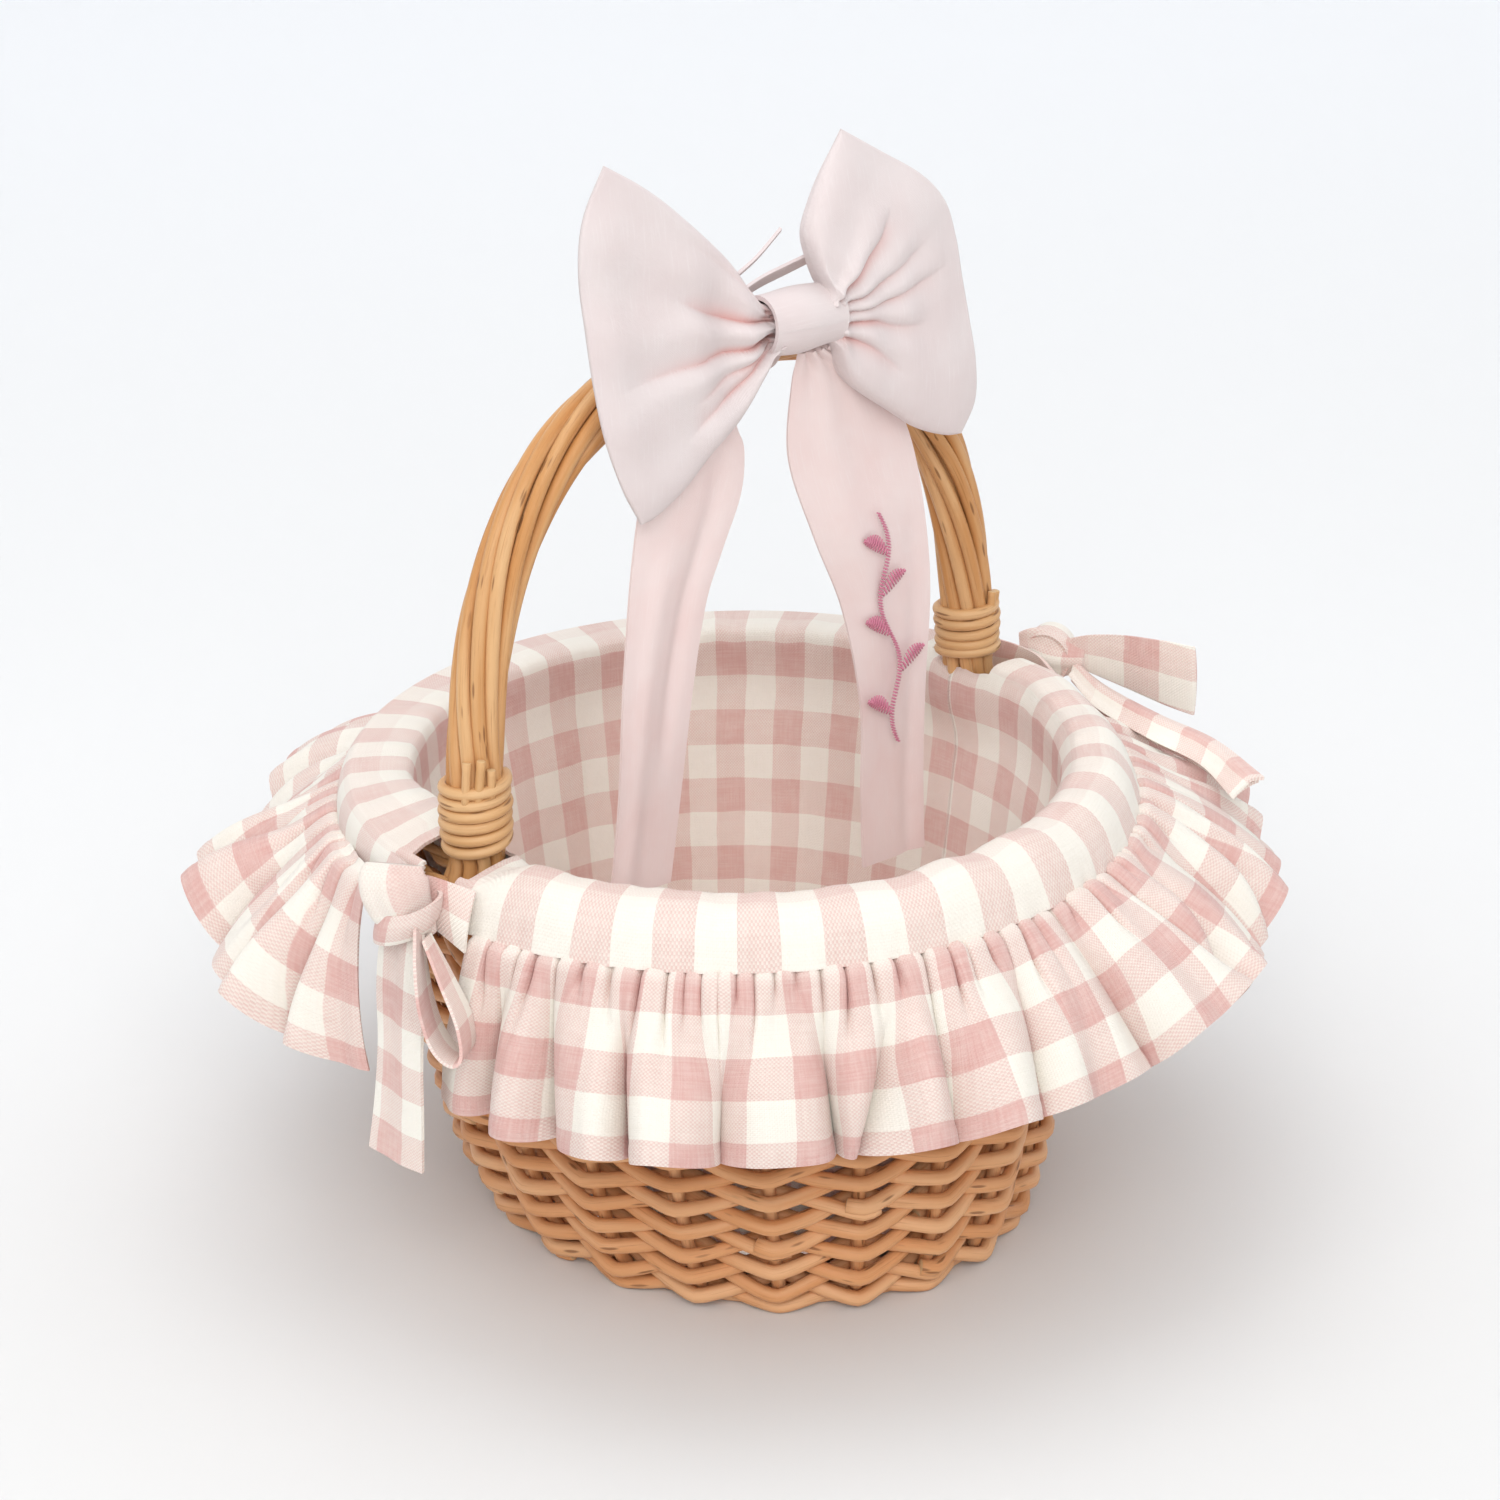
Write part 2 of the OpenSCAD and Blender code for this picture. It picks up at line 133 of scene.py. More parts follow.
def spline(points, count, loop=False):
    """Smooth curve through the points, as count points evenly spaced along it."""
    p = np.asarray(points, float)
    if loop:
        p = np.vstack([p[-1:], p, p[:2]])
    else:
        p = np.vstack([2 * p[0] - p[1], p, 2 * p[-1] - p[-2]])
    t = np.linspace(0, 1, 20, endpoint=False)[:, None]
    runs = [0.5 * (2 * b + (c - a) * t + (2 * a - 5 * b + 4 * c - d) * t**2
                   + (3 * b - a - 3 * c + d) * t**3)
            for a, b, c, d in zip(p, p[1:], p[2:], p[3:])]
    curve = resample(np.vstack(runs + [p[-2:-1]]), count + (1 if loop else 0))
    return curve[:-1] if loop else curve


def flat_spline(points, count):
    """Smooth curve through the points of a plane."""
    return spline(stack(*np.array(points, float).T, 0.0), count)[:, :2]


def wander(count, scale, loop=False, source=rng):
    """A smooth random line of count values, about -1 to 1, that bends every count / scale values."""
    t = np.linspace(0, 1, count, endpoint=not loop)
    waves = range(1, max(2, int(scale)) + 1)
    total = sum(source.normal() * np.cos(TAU * k * t + source.uniform(0, TAU)) for k in waves)
    return total / math.sqrt(len(waves))


# ---- meshes ----
def make_mesh(name, verts, faces, material, layers, crease=50):
    """A mesh object from millimetre points; layers are the coordinates that its material reads."""
    mesh = bpy.data.meshes.new(name)
    mesh.from_pydata((np.asarray(verts) * MM).tolist(), [], np.asarray(faces).tolist()
                     if not isinstance(faces, list) else faces)
    for key, values in layers.items():
        values = np.asarray(values, np.float32)
        kind, field = ("FLOAT_VECTOR", "vector") if values.ndim == 2 else ("FLOAT", "value")
        mesh.attributes.new(key, kind, "POINT").data.foreach_set(field, values.ravel())
    mesh.validate()
    mesh.update()
    mesh.shade_smooth()
    mesh.set_sharp_from_angle(angle=math.radians(crease))
    mesh.materials.append(material)
    piece = bpy.data.objects.new(name, mesh)
    bpy.context.scene.collection.objects.link(piece)
    return piece


def grid_faces(rows, cols, loop_rows=False, loop_cols=False, first=0, flip=False):
    """Quads of a rows by cols grid of points numbered from first."""
    r = np.arange(rows if loop_rows else rows - 1)[:, None]
    c = np.arange(cols if loop_cols else cols - 1)[None, :]
    r2, c2 = (r + 1) % rows, (c + 1) % cols
    quads = np.stack([r * cols + c, r * cols + c2, r2 * cols + c2, r2 * cols + c], -1).reshape(-1, 4)
    return (quads[:, ::-1] if flip else quads) + first


def grid_normals(grid, loop_rows=False):
    """Unit normals of a grid of points."""
    if loop_rows:
        du = np.roll(grid, -1, 0) - np.roll(grid, 1, 0)
    else:
        du = np.gradient(grid, axis=0)
    return unit(np.cross(du, np.gradient(grid, axis=1)) + 1e-12)


def sheet_mesh(name, grid, cloth, thick, material, loop_rows=False, keep=None):
    """A closed sheet of cloth around a grid of points; keep says which of its quads are there.

    cloth holds each point's place on the flat cloth, in metres.
    """
    rows, cols = grid.shape[:2]
    normals = grid_normals(grid, loop_rows)
    half = np.broadcast_to(np.asarray(thick, float), (rows, cols))[..., None] / 2
    verts = np.concatenate([(grid + normals * half).reshape(-1, 3), (grid - normals * half).reshape(-1, 3)])
    size = rows * cols
    front = grid_faces(rows, cols, loop_rows)
    if keep is not None:
        front = front[keep.ravel()]
    faces = np.concatenate([front, front[:, ::-1] + size, rim_faces(front, size)])
    flat = np.column_stack([cloth.reshape(-1, 2), np.zeros(size)])
    used, faces = np.unique(faces, return_inverse=True)
    layers = {"cloth": np.vstack([flat, flat])[used]}
    return make_mesh(name, verts[used], faces.reshape(-1, 4), material, layers)


def rim_faces(front, size):
    """Quads that join the two faces of a sheet along its free edges."""
    edges = np.concatenate([front[:, [k, (k + 1) % 4]] for k in range(4)])
    total = 2 * size
    free = ~np.isin(edges[:, 0] * total + edges[:, 1], edges[:, 1] * total + edges[:, 0])
    a, b = edges[free].T
    return np.column_stack([b, a, a + size, b + size])


class RodPile:
    """Gathers many rods into one mesh, each with its own coordinates for the grain."""

    def __init__(self):
        self.verts, self.faces, self.grain, self.tone, self.cut = [], [], [], [], []
        self.count = 0

    def add(self, path, radius, side, sides=12, loop=False, tone=None):
        """A round rod along path; side is a direction, or one for each point, that is never along it."""
        path = np.asarray(path, float)
        radius = np.broadcast_to(np.asarray(radius, float), (len(path),)).copy()
        side = np.broadcast_to(np.asarray(side, float), path.shape)
        run = np.roll(path, -1, 0) - np.roll(path, 1, 0)
        if not loop:
            run[0], run[-1] = path[1] - path[0], path[-1] - path[-2]
        run = unit(run)
        cut = np.zeros(len(path))
        if not loop:
            path, radius, run, side, cut = self.round_ends(path, radius, run, side)
        u = unit(side - np.sum(side * run, 1, keepdims=True) * run)
        v = np.cross(run, u)
        a = full_turn(sides)[:, None]
        ring = np.cos(a) * u[:, None] + np.sin(a) * v[:, None]
        verts = path[:, None] + radius[:, None, None] * ring
        rows = len(path)
        grain = stack(np.cos(a).T, np.sin(a).T, lengths_along(path)[:, None] * MM)
        self.faces.append(grid_faces(rows, sides, loop, True, self.count, flip=True))
        self.verts.append(verts.reshape(-1, 3))
        self.grain.append(grain.reshape(-1, 3))
        self.tone.append(np.full(rows * sides, rng.uniform() if tone is None else tone))
        self.cut.append(np.repeat(cut, sides))
        self.count += rows * sides

    @staticmethod
    def round_ends(path, radius, run, side):
        """Adds two rings at each end, which close it as a slightly bevelled cut."""
        first, last = run[0] * radius[0], run[-1] * radius[-1]
        path = np.vstack([path[0] - first * 0.16, path[0] - first * 0.1, path,
                          path[-1] + last * 0.1, path[-1] + last * 0.16])
        radius = np.pad(radius, 2, "edge") * np.r_[0.02, 0.8, np.ones(len(radius)), 0.8, 0.02]
        run, side = (np.pad(lines, ((2, 2), (0, 0)), "edge") for lines in (run, side))
        cut = np.zeros(len(path))
        cut[[0, 1, -1, -2]] = 1
        return path, radius, run, side, cut

    def make(self, name, material, slot, *nodes, body="basket"):
        layers = {"grain": np.vstack(self.grain), "tone": np.concatenate(self.tone),
                  "cut": np.concatenate(self.cut)}
        piece = make_mesh(name, np.vstack(self.verts), np.concatenate(self.faces), material, layers, 65)
        settle(piece, body, slot, *nodes)


def settle(piece, body, slot, *nodes):
    """Rides the piece on its body and hides the CAD nodes that it stands for; slot is not used.

    Where no nodes are given, a piece named x_cloth stands for the node x.
    """
    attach(piece, body)
    if not nodes and piece.name.endswith("_cloth"):
        nodes = [piece.name.removesuffix("_cloth")]
    if nodes:
        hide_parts(*nodes)


# ---- materials ----
def srgb(code):
    """Linear colour of a hex code."""
    values = [int(code[i:i + 2], 16) / 255 for i in (0, 2, 4)]
    return [v / 12.92 if v <= 0.04045 else ((v + 0.055) / 1.055) ** 2.4 for v in values] + [1]


class Value:
    """A node's output that takes part in sums, so that a material reads like a formula."""

    def __init__(self, nodes, socket):
        self.nodes, self.socket = nodes, socket

    def __add__(self, other):
        return self.nodes.math("ADD", self, other)

    def __sub__(self, other):
        return self.nodes.math("SUBTRACT", self, other)

    def __mul__(self, other):
        return self.nodes.math("MULTIPLY", self, other)

    def opposite(self):
        return self.nodes.math("SUBTRACT", 1.0, self)


class Nodes:
    """A short way to write a material's nodes."""

    def __init__(self, name, roughness=0.6):
        self.material = bpy.data.materials.new(name)
        self.material.use_nodes = True
        self.tree = self.material.node_tree
        self.shader = self.tree.nodes["Principled BSDF"]
        self.shader.inputs["Roughness"].default_value = roughness

    def new(self, kind, settings=None, **inputs):
        made = self.tree.nodes.new("ShaderNode" + kind)
        for key, value in (settings or {}).items():
            setattr(made, key, value)
        for key, value in inputs.items():
            self.feed(made.inputs[key.replace("_", " ")], value)
        return made

    def feed(self, socket, value):
        if isinstance(value, Value):
            self.tree.links.new(value.socket, socket)
        else:
            socket.default_value = srgb(value) if isinstance(value, str) else value

    def result(self, made, output=0):
        return Value(self, made.outputs[output])

    def math(self, operation, *values):
        made = self.new("Math", {"operation": operation})
        for socket, value in zip(made.inputs, values):
            self.feed(socket, value)
        return self.result(made)

    def attribute(self, name, output="Fac"):
        return self.result(self.new("Attribute", {"attribute_name": name}), output)

    def split(self, vector):
        made = self.new("SeparateXYZ", Vector=vector)
        return [self.result(made, axis) for axis in "XYZ"]

    def vector(self, x, y, z):
        return self.result(self.new("CombineXYZ", X=x, Y=y, Z=z))

    def noise(self, vector, scale, detail=3, rough=0.5):
        return self.result(self.new("TexNoise", Vector=vector, Scale=scale, Detail=detail, Roughness=rough))

    def spread(self, value, low, high, to_low=0.0, to_high=1.0):
        """Maps value from low..high to to_low..to_high, and holds it there."""
        made = self.new("MapRange", {"interpolation_type": "SMOOTHSTEP"}, Value=value)
        for socket, limit in zip(list(made.inputs)[1:5], (low, high, to_low, to_high)):
            socket.default_value = limit
        return self.result(made)

    def blend(self, factor, a, b):
        made = self.new("Mix", {"data_type": "RGBA"})
        for socket, value in zip((made.inputs[0], made.inputs[6], made.inputs[7]), (factor, a, b)):
            self.feed(socket, value)
        return self.result(made, 2)

    def bump(self, height, distance, strength, under=None):
        made = self.new("Bump", Height=height, Distance=distance, Strength=strength)
        if under is not None:
            self.feed(made.inputs["Normal"], under)
        return self.result(made)

    def finish(self, colour, normal, **settings):
        """Feeds the shader, where settings are its other sockets by name."""
        self.feed(self.shader.inputs["Base Color"], colour)
        self.feed(self.shader.inputs["Normal"], normal)
        for key, value in settings.items():
            self.feed(self.shader.inputs[key.replace("_", " ")], value)
        return self.material


def willow_material(name, pale, warm, deep):
    """Peeled willow: streaks along the rod, brown nicks, a tone for each rod and pale cut ends."""
    n = Nodes(name)
    tone, cut = n.attribute("tone"), n.attribute("cut")
    x, y, z = n.split(n.attribute("grain", "Vector"))
    shift = tone * 31.0

    def drawn_out(around_rod, along):
        return n.vector(x * around_rod + shift, y * around_rod, z * along)

    streak = n.noise(drawn_out(2.6, 34.0), 1.6, 5, 0.62)
    patch = n.noise(drawn_out(0.5, 16.0), 1.0, 2)
    fibre = n.noise(drawn_out(8.0, 60.0), 2.2, 3, 0.6)
    colour = n.blend(n.spread(patch, 0.3, 0.7), pale, warm)
    colour = n.blend(n.spread(tone, 0.25, 1.0, 0.0, 0.55), colour, warm)
    colour = n.blend(n.spread(streak, 0.52, 0.8, 0.0, 0.6), colour, deep)
    cells = n.new("TexVoronoi", {"feature": "F1"}, Scale=1.0, Randomness=1.0, Vector=drawn_out(1.4, 90.0))
    chosen = n.spread(n.split(n.result(cells, "Color"))[0], 0.80, 0.86)
    fleck = n.spread(n.result(cells, "Distance"), 0.16, 0.36, 1.0, 0.0) * chosen
    colour = n.blend(fleck * 0.72, colour, "7A4A26")
    colour = n.blend(cut * 0.8, colour, "D9B98C")
    height = streak * 0.6 + fibre * 0.4 - fleck * 0.5
    return n.finish(colour, n.bump(height, 0.0004, 0.5), Roughness=n.spread(streak, 0.3, 0.8, 0.36, 0.56),
                    Specular_IOR_Level=0.35)


def thread_weave(n, u, v, pitch):
    """Height of a plain weave, and which of its two threads lies on top, 0 or 1."""
    a, b = u * (1 / pitch), v * (1 / pitch)
    warp, weft = (n.math("ABSOLUTE", n.math("SINE", turn * math.pi)) for turn in (a, b))
    both = n.math("FLOOR", a) + n.math("FLOOR", b)
    over = n.math("MODULO", n.math("ABSOLUTE", both), 2.0)
    return warp * over + weft * over.opposite(), over


def gingham_material():
    """Yarn-dyed linen check: pink and ivory warp crossed by pink and ivory weft."""
    n = Nodes("gingham_linen", 0.86)
    place = n.attribute("cloth", "Vector")
    u, v, _ = n.split(place)
    drift = (n.noise(place, 55.0, 2) - 0.5) * 0.0016
    u, v = u + drift, v + drift

    def stripe(value, check):
        """1 on the pink checks and 0 on the ivory ones."""
        turn = n.math("MODULO", value * (1 / (2 * check)) + 200.0, 1.0)
        return n.spread(turn, 0.0, 0.012) * n.spread(turn, 0.5, 0.512, 1.0, 0.0)

    on_edge = n.math("ABSOLUTE", v - 0.003)
    warp_pink = stripe(u, CHECK_U)
    weft_pink = stripe(v, CHECK_V) * n.spread(on_edge, 0.0155, 0.022, 0.3, 1.0)
    # painted light: the bag's cloth inside the basket is painted paler than the same cloth on the rolled edge
    # and the ruffle
    inside = n.spread(v, 0.03, 0.05)
    weave, over = thread_weave(n, u, v, 0.00062)
    slub = n.noise(n.vector(u * 1500.0, v * 60.0, 0.0), 1.0, 2)
    slub = slub + n.noise(n.vector(u * 60.0, v * 1500.0, 3.0), 1.0, 2)
    top = over * 0.34 + 0.33
    pink = warp_pink * top + weft_pink * top.opposite()
    pink = pink * n.spread(n.noise(place, 140.0, 4, 0.65), 0.25, 0.75, 0.86, 1.04)
    # painted light: paler ivory and rose where the cloth lies inside the basket
    ivory = n.blend(inside, "F1EBE1", "FBF6EC")
    rose = n.blend(inside, "D8AAA3", "E4BAB2")
    colour = n.blend(n.spread(slub, 0.75, 1.3, 0.0, 0.16), n.blend(pink, ivory, rose), "FFFDF6")
    creases = n.bump(n.noise(place, 90.0, 3, 0.6), 0.0012, 0.35)
    return n.finish(colour, n.bump(weave + slub * 0.5, 0.00022, 0.55, creases), Sheen_Weight=0.15,
                    Specular_IOR_Level=0.2)


def cotton_material(name, light, shade):
    """Plain woven ribbon cotton with a faint crumple; the cloth's third coordinate paints a deeper pink shade
    into its creases.
    """
    n = Nodes(name, 0.8)
    place = n.attribute("cloth", "Vector")
    u, v, fold = n.split(place)
    soft = n.noise(place, 28.0, 3, 0.55)
    colour = n.blend(n.spread(soft, 0.3, 0.75, 0.0, 0.5), light, shade)
    # painted shade: a deeper pink is blended in where the cloth's third coordinate marks a crease
    colour = n.blend(n.spread(fold, 0.0, 0.01, 0.0, 0.75), colour, "DDA39C")
    threads = n.noise(n.vector(u * 1400.0, v * 80.0, 0.0), 1.0, 2)
    colour = n.blend(n.spread(threads, 0.5, 0.85, 0.0, 0.12), colour, "FFFFFF")
    crumple = n.bump(n.noise(place, 60.0, 4, 0.6), 0.0009, 0.3)
    normal = n.bump(thread_weave(n, u, v, 0.00042)[0], 0.00012, 0.4, crumple)
    return n.finish(colour, normal, Sheen_Weight=0.2, Specular_IOR_Level=0.25)


def thread_material(name, light, deep):
    """Shiny twisted thread: fine stripes along each stitch."""
    n = Nodes(name, 0.38)
    x, y, z = n.split(n.attribute("grain", "Vector"))
    twist = n.noise(n.vector(x * 4.0, y * 4.0, z * 900.0), 1.0, 2)
    colour = n.blend(n.spread(twist, 0.35, 0.7), light, deep)
    return n.finish(colour, n.bump(twist, 0.00015, 0.5), Sheen_Weight=0.2)


WILLOW = willow_material("willow_weavers", "EAB586", "DB9A66", "A96832")
HONEY = willow_material("willow_handle", "DDB07E", "C98F56", "9C6030")
CANE = willow_material("willow_binding", "DFB585", "D2A06A", "B07845")
GINGHAM = gingham_material()
# painted light and shade: one ribbon in two copies; the wings' and knot's copy is painted darker against
# their bright light, and the tails' copy below is painted paler and pinker, as painted light and painted pink
# reflection in the basket's shade
COTTON = cotton_material("ribbon_cotton", "E2D7D6", "DBC9C8")
TAIL_COTTON_PAINTED_LIGHT = cotton_material("tail_cotton_painted_light", "F0DEDB", "EACBC7")
STITCH = thread_material("hem_stitches", "F8F4EE", "DCC9C4")
SILK = thread_material("sprig_thread", "DE8FA6", "B85D7C")


# ---- camera, lights and floor ----
def add_camera():
    """Looks down at the basket from the front left, as a long lens does."""
    azimuth, elevation, roll = map(math.radians, (-41, 23.5, -2))
    target = Vector((3.77, -3.28, 168)) * MM
    distance = 1.3
    back = Vector((math.sin(azimuth) * math.cos(elevation), -math.cos(azimuth) * math.cos(elevation),
                   math.sin(elevation)))
    right = Vector((math.cos(azimuth), math.sin(azimuth), 0))
    up = back.cross(right)
    turned_right = math.cos(roll) * right + math.sin(roll) * up
    turned_up = math.cos(roll) * up - math.sin(roll) * right
    data = bpy.data.cameras.new("camera")
    data.sensor_width = 36
    data.lens = 88.8
    camera = bpy.data.objects.new("camera", data)
    bpy.context.scene.collection.objects.link(camera)
    axes = Matrix((turned_right, turned_up, back)).transposed()
    camera.matrix_world = Matrix.Translation(target + back * distance) @ axes.to_4x4()
    bpy.context.scene.camera = camera


def add_light(name, place, size, power, colour=(1, 1, 1)):
    """A square soft box at place, aimed at the basket."""
    data = bpy.data.lights.new(name, "AREA")
    data.size = size
    data.energy = power
    data.color = colour
    lamp = bpy.data.objects.new(name, data)
    lamp.location = place
    lamp.rotation_euler = (Vector((0, 0, 0.15)) - Vector(place)).to_track_quat("-Z", "Y").to_euler()
    bpy.context.scene.collection.objects.link(lamp)


def add_studio():
    """A pale floor that curves up into a pale wall on every side, with painted shade greying it towards the
    camera, and soft boxes.
    """
    n = Nodes("studio_paper", 0.9)
    place = n.result(n.new("TexCoord"), "Object")
    coarse = n.noise(place, 3.0, 2)
    x, y, _ = n.split(place)
    # painted shade and light: the paper is painted greyer towards the camera and near white away from it
    depth = x * 0.656 + y * 0.755
    painted_shade_paper = n.blend(n.spread(depth, -0.7, 0.5), "E0E0DF", "ECECEC")
    painted_shade_paper = n.blend(n.spread(depth, 0.4, 2.2), painted_shade_paper, "FAFBFD")
    painted_shade_paper = n.blend(coarse * 0.04, painted_shade_paper, "F4F4F3")
    material = n.finish(painted_shade_paper, n.bump(coarse, 0.0001, 0.1))
    radii = np.array([0.3, 0.8, 1.6, 2.6, 3.2, 3.7, 4.0, 4.1])[:, None] / MM
    rises = np.array([0, 0, 0, 0, 0.08, 0.4, 1.1, 4.0])[:, None] / MM
    sides = 64
    a = full_turn(sides)
    rings = stack(radii * np.cos(a), radii * np.sin(a), rises).reshape(-1, 3)
    faces = grid_faces(len(radii), sides, loop_cols=True).tolist()
    faces += [[k, (k + 1) % sides, len(rings)] for k in range(sides)]
    make_mesh("studio_floor", np.vstack([rings, [[0, 0, 0]]]), faces, material, {})
    world = bpy.data.worlds.new("studio")
    bpy.context.scene.world = world
    world.use_nodes = True
    background = world.node_tree.nodes["Background"].inputs
    background["Color"].default_value = (0.965, 0.98, 1, 1)
    background["Strength"].default_value = 0.98
    add_light("key", (-1.7, -0.4, 2.1), 1.5, 8, (1, 0.985, 0.965))
    add_light("fill", (-1.2, -1.6, 1.5), 1.3, 22, (1, 0.99, 0.98))
    add_light("top", (0.1, 0.3, 2.6), 1.6, 9)
    bpy.context.scene.view_settings.view_transform = "Standard"


# ---- the wall's middle surface ----
def flare(z):
    return (np.maximum(z, 0.01) / WALL_H) ** FLARE_POWER


def oval_normal(rx, ry, a):
    return unit(stack(np.cos(a) / rx, np.sin(a) / ry, 0.0))


def wall_radii(z):
    return mix(BASE_RX, RIM_RX, flare(z)), mix(BASE_RY, RIM_RY, flare(z))


def wall_normal(z, a):
    rx, ry = wall_radii(z)
    slope = (RIM_RX - BASE_RX) * FLARE_POWER / WALL_H * (np.maximum(z, 4.0) / WALL_H) ** (FLARE_POWER - 1)
    return unit(oval_normal(rx, ry, a) - stack(0.0, 0.0, slope))


def wall_point(z, a, off):
    """Point off the wall's middle surface; z, a and off are numbers or arrays."""
    rx, ry = wall_radii(z)
    return stack(rx * np.cos(a), ry * np.sin(a), z) + np.asarray(off)[..., None] * wall_normal(z, a)


def weave_swing(a, row, sharp=0.985):
    """1 in front of a stake and -1 behind the next, with a tight bend at each stake."""
    return np.arcsin(sharp * np.cos(a * STAKES / 2 + math.pi * row)) / math.asin(sharp)


# ---- wicker ----
def weaver(pile, row, z):
    """One row of willow: two rods whose ends are tucked in behind a stake."""
    steps = 6 * STAKES
    start = int(rng.integers(STAKES // 2)) * 2 + (0 if row % 2 else 1)
    for half in range(2):
        a0 = TAU * (start + half * STAKES / 2) / STAKES
        a = np.linspace(a0 - 0.05, a0 + math.pi + 0.05, steps)
        ends = hump(a, a[0], 0.1) - hump(a, a[-1], 0.1)
        height = z + 0.4 * wander(steps, 12) + 1.5 * ends - 1.3 * weave_swing(a, row)
        lift = 0.2 * wander(steps, 16)
        path = wall_point(height, a, SWING * weave_swing(a, row) + lift)
        thick = np.linspace(BUTT_R, TIP_R, steps) * (1 + 0.03 * wander(steps, 20))
        pile.add(path, thick, wall_normal(height, a))


def weave_band(name, first):
    """Nine rows of willow weaving."""
    pile = RodPile()
    for row in range(first, first + ROWS_PER_BAND):
        weaver(pile, row, FIRST_ROW + ROW_PITCH * row)
    pile.make(name + "_rods", WILLOW, "willow", name)


def stakes():
    pile = RodPile()
    for k in range(STAKES):
        a = TAU * k / STAKES
        top = 51 if k % (STAKES // 2) == 0 else WALL_H - 2
        z = np.linspace(math.sqrt(7), math.sqrt(top), 40) ** 2
        path = wall_point(z, a, 0.2 * wander(40, 5))
        pile.add(path, mix(2.5, 2.1, np.linspace(0, 1, 40)), (-math.sin(a), math.cos(a), 0))
    pile.make("willow_stakes", WILLOW, "willow", "side_stakes")


def base_point(a, t, z):
    """Point of the base, where t runs from 0 at a spoke's inner end to 1 at its outer end."""
    rx, ry = wall_radii(BASE_Z)
    return stack(mix(27, rx * 0.965, t) * np.cos(a), mix(29, ry * 0.965, t) * np.sin(a), z)


def foot_point(a, reach, z):
    return stack((BASE_RX + 8 + reach) * np.cos(a), (BASE_RY + 4 + reach) * np.sin(a), z)


def base():
    """Woven base: a slath of crossed sticks, spokes, rings of weaving and a twisted foot."""
    pile = RodPile()
    stick_r, layer = 2.2, 2.3
    ends = np.linspace(-22, 22, 8)
    for i in range(-2, 3):
        across = i * layer * stick_r
        pile.add(stack(ends, across, BASE_Z + layer), stick_r, UP)
        pile.add(stack(across, ends, BASE_Z - layer), stick_r, UP)
    pile.make("base_slath_sticks", HONEY, "willow_core", "base_slath")
    pile = RodPile()
    for k in range(STAKES):
        a = TAU * k / STAKES
        pile.add(base_point(a, np.linspace(0, 1, 8), BASE_Z), stick_r, UP)
    pile.make("base_spoke_sticks", HONEY, "willow_core", "base_spokes")
    pile = RodPile()
    rings = 5
    for row in range(rings):
        grown = row / (rings - 1)
        a = full_turn(8 * STAKES)
        path = base_point(a, mix(0.25, 0.8, grown), BASE_Z + 4.9 * weave_swing(a, row, 0.9))
        pile.add(path, mix(1.2, 2.1, grown), UP, 10, loop=True)
    pile.make("base_weave_rods", WILLOW, "willow", "base_weave")
    pile = RodPile()
    weaver(pile, 1, 8.6)
    a = full_turn(300)
    for reach, height in ((-4.0, 3.0), (0.6, 2.9)):
        pile.add(foot_point(a, reach, height), 2.5 * (1 + 0.03 * wander(300, 20, True)), UP, loop=True)
    a = full_turn(24 * STAKES)
    step = weave_swing(a, 0, 0.97)
    pile.add(foot_point(a, 2.5 + 4.2 * step, 4.4 - 1.6 * step), 2.6, UP, loop=True)
    pile.make("foot_rods", WILLOW, "willow_core", "foot_ring")


def borders():
    """The border's two rods, inner and outer, each of two twisted strands; the stake ends bent down between
    them are not drawn.
    """
    for side, name in ((-1, "inner_border"), (1, "outer_border")):
        pile = RodPile()
        a = full_turn(400)
        for strand in range(2):
            turn = STAKES * a + math.pi * strand
            path = wall_point(WALL_H + 1.2 * np.sin(turn), a, side * 4.7 + 1.1 * np.cos(turn))
            pile.add(path, 1.55, UP, 8, loop=True)
        pile.make(name + "_rods", HONEY, "willow_core", name)


# ---- handle ----
def arch_point(t):
    """Centre line of the arch; t runs from 0 at the right foot to pi at the left."""
    c, s = np.cos(t), np.sin(t)
    return stack(HANDLE_HALF * np.sign(c) * np.abs(c) ** ARCH_POWER, 0.0,
                 ARCH_FOOT + (HANDLE_TOP - ARCH_FOOT) * np.abs(s) ** ARCH_POWER)


def arch_start(z):
    return math.asin(((z - ARCH_FOOT) / (HANDLE_TOP - ARCH_FOOT)) ** (1 / ARCH_POWER))


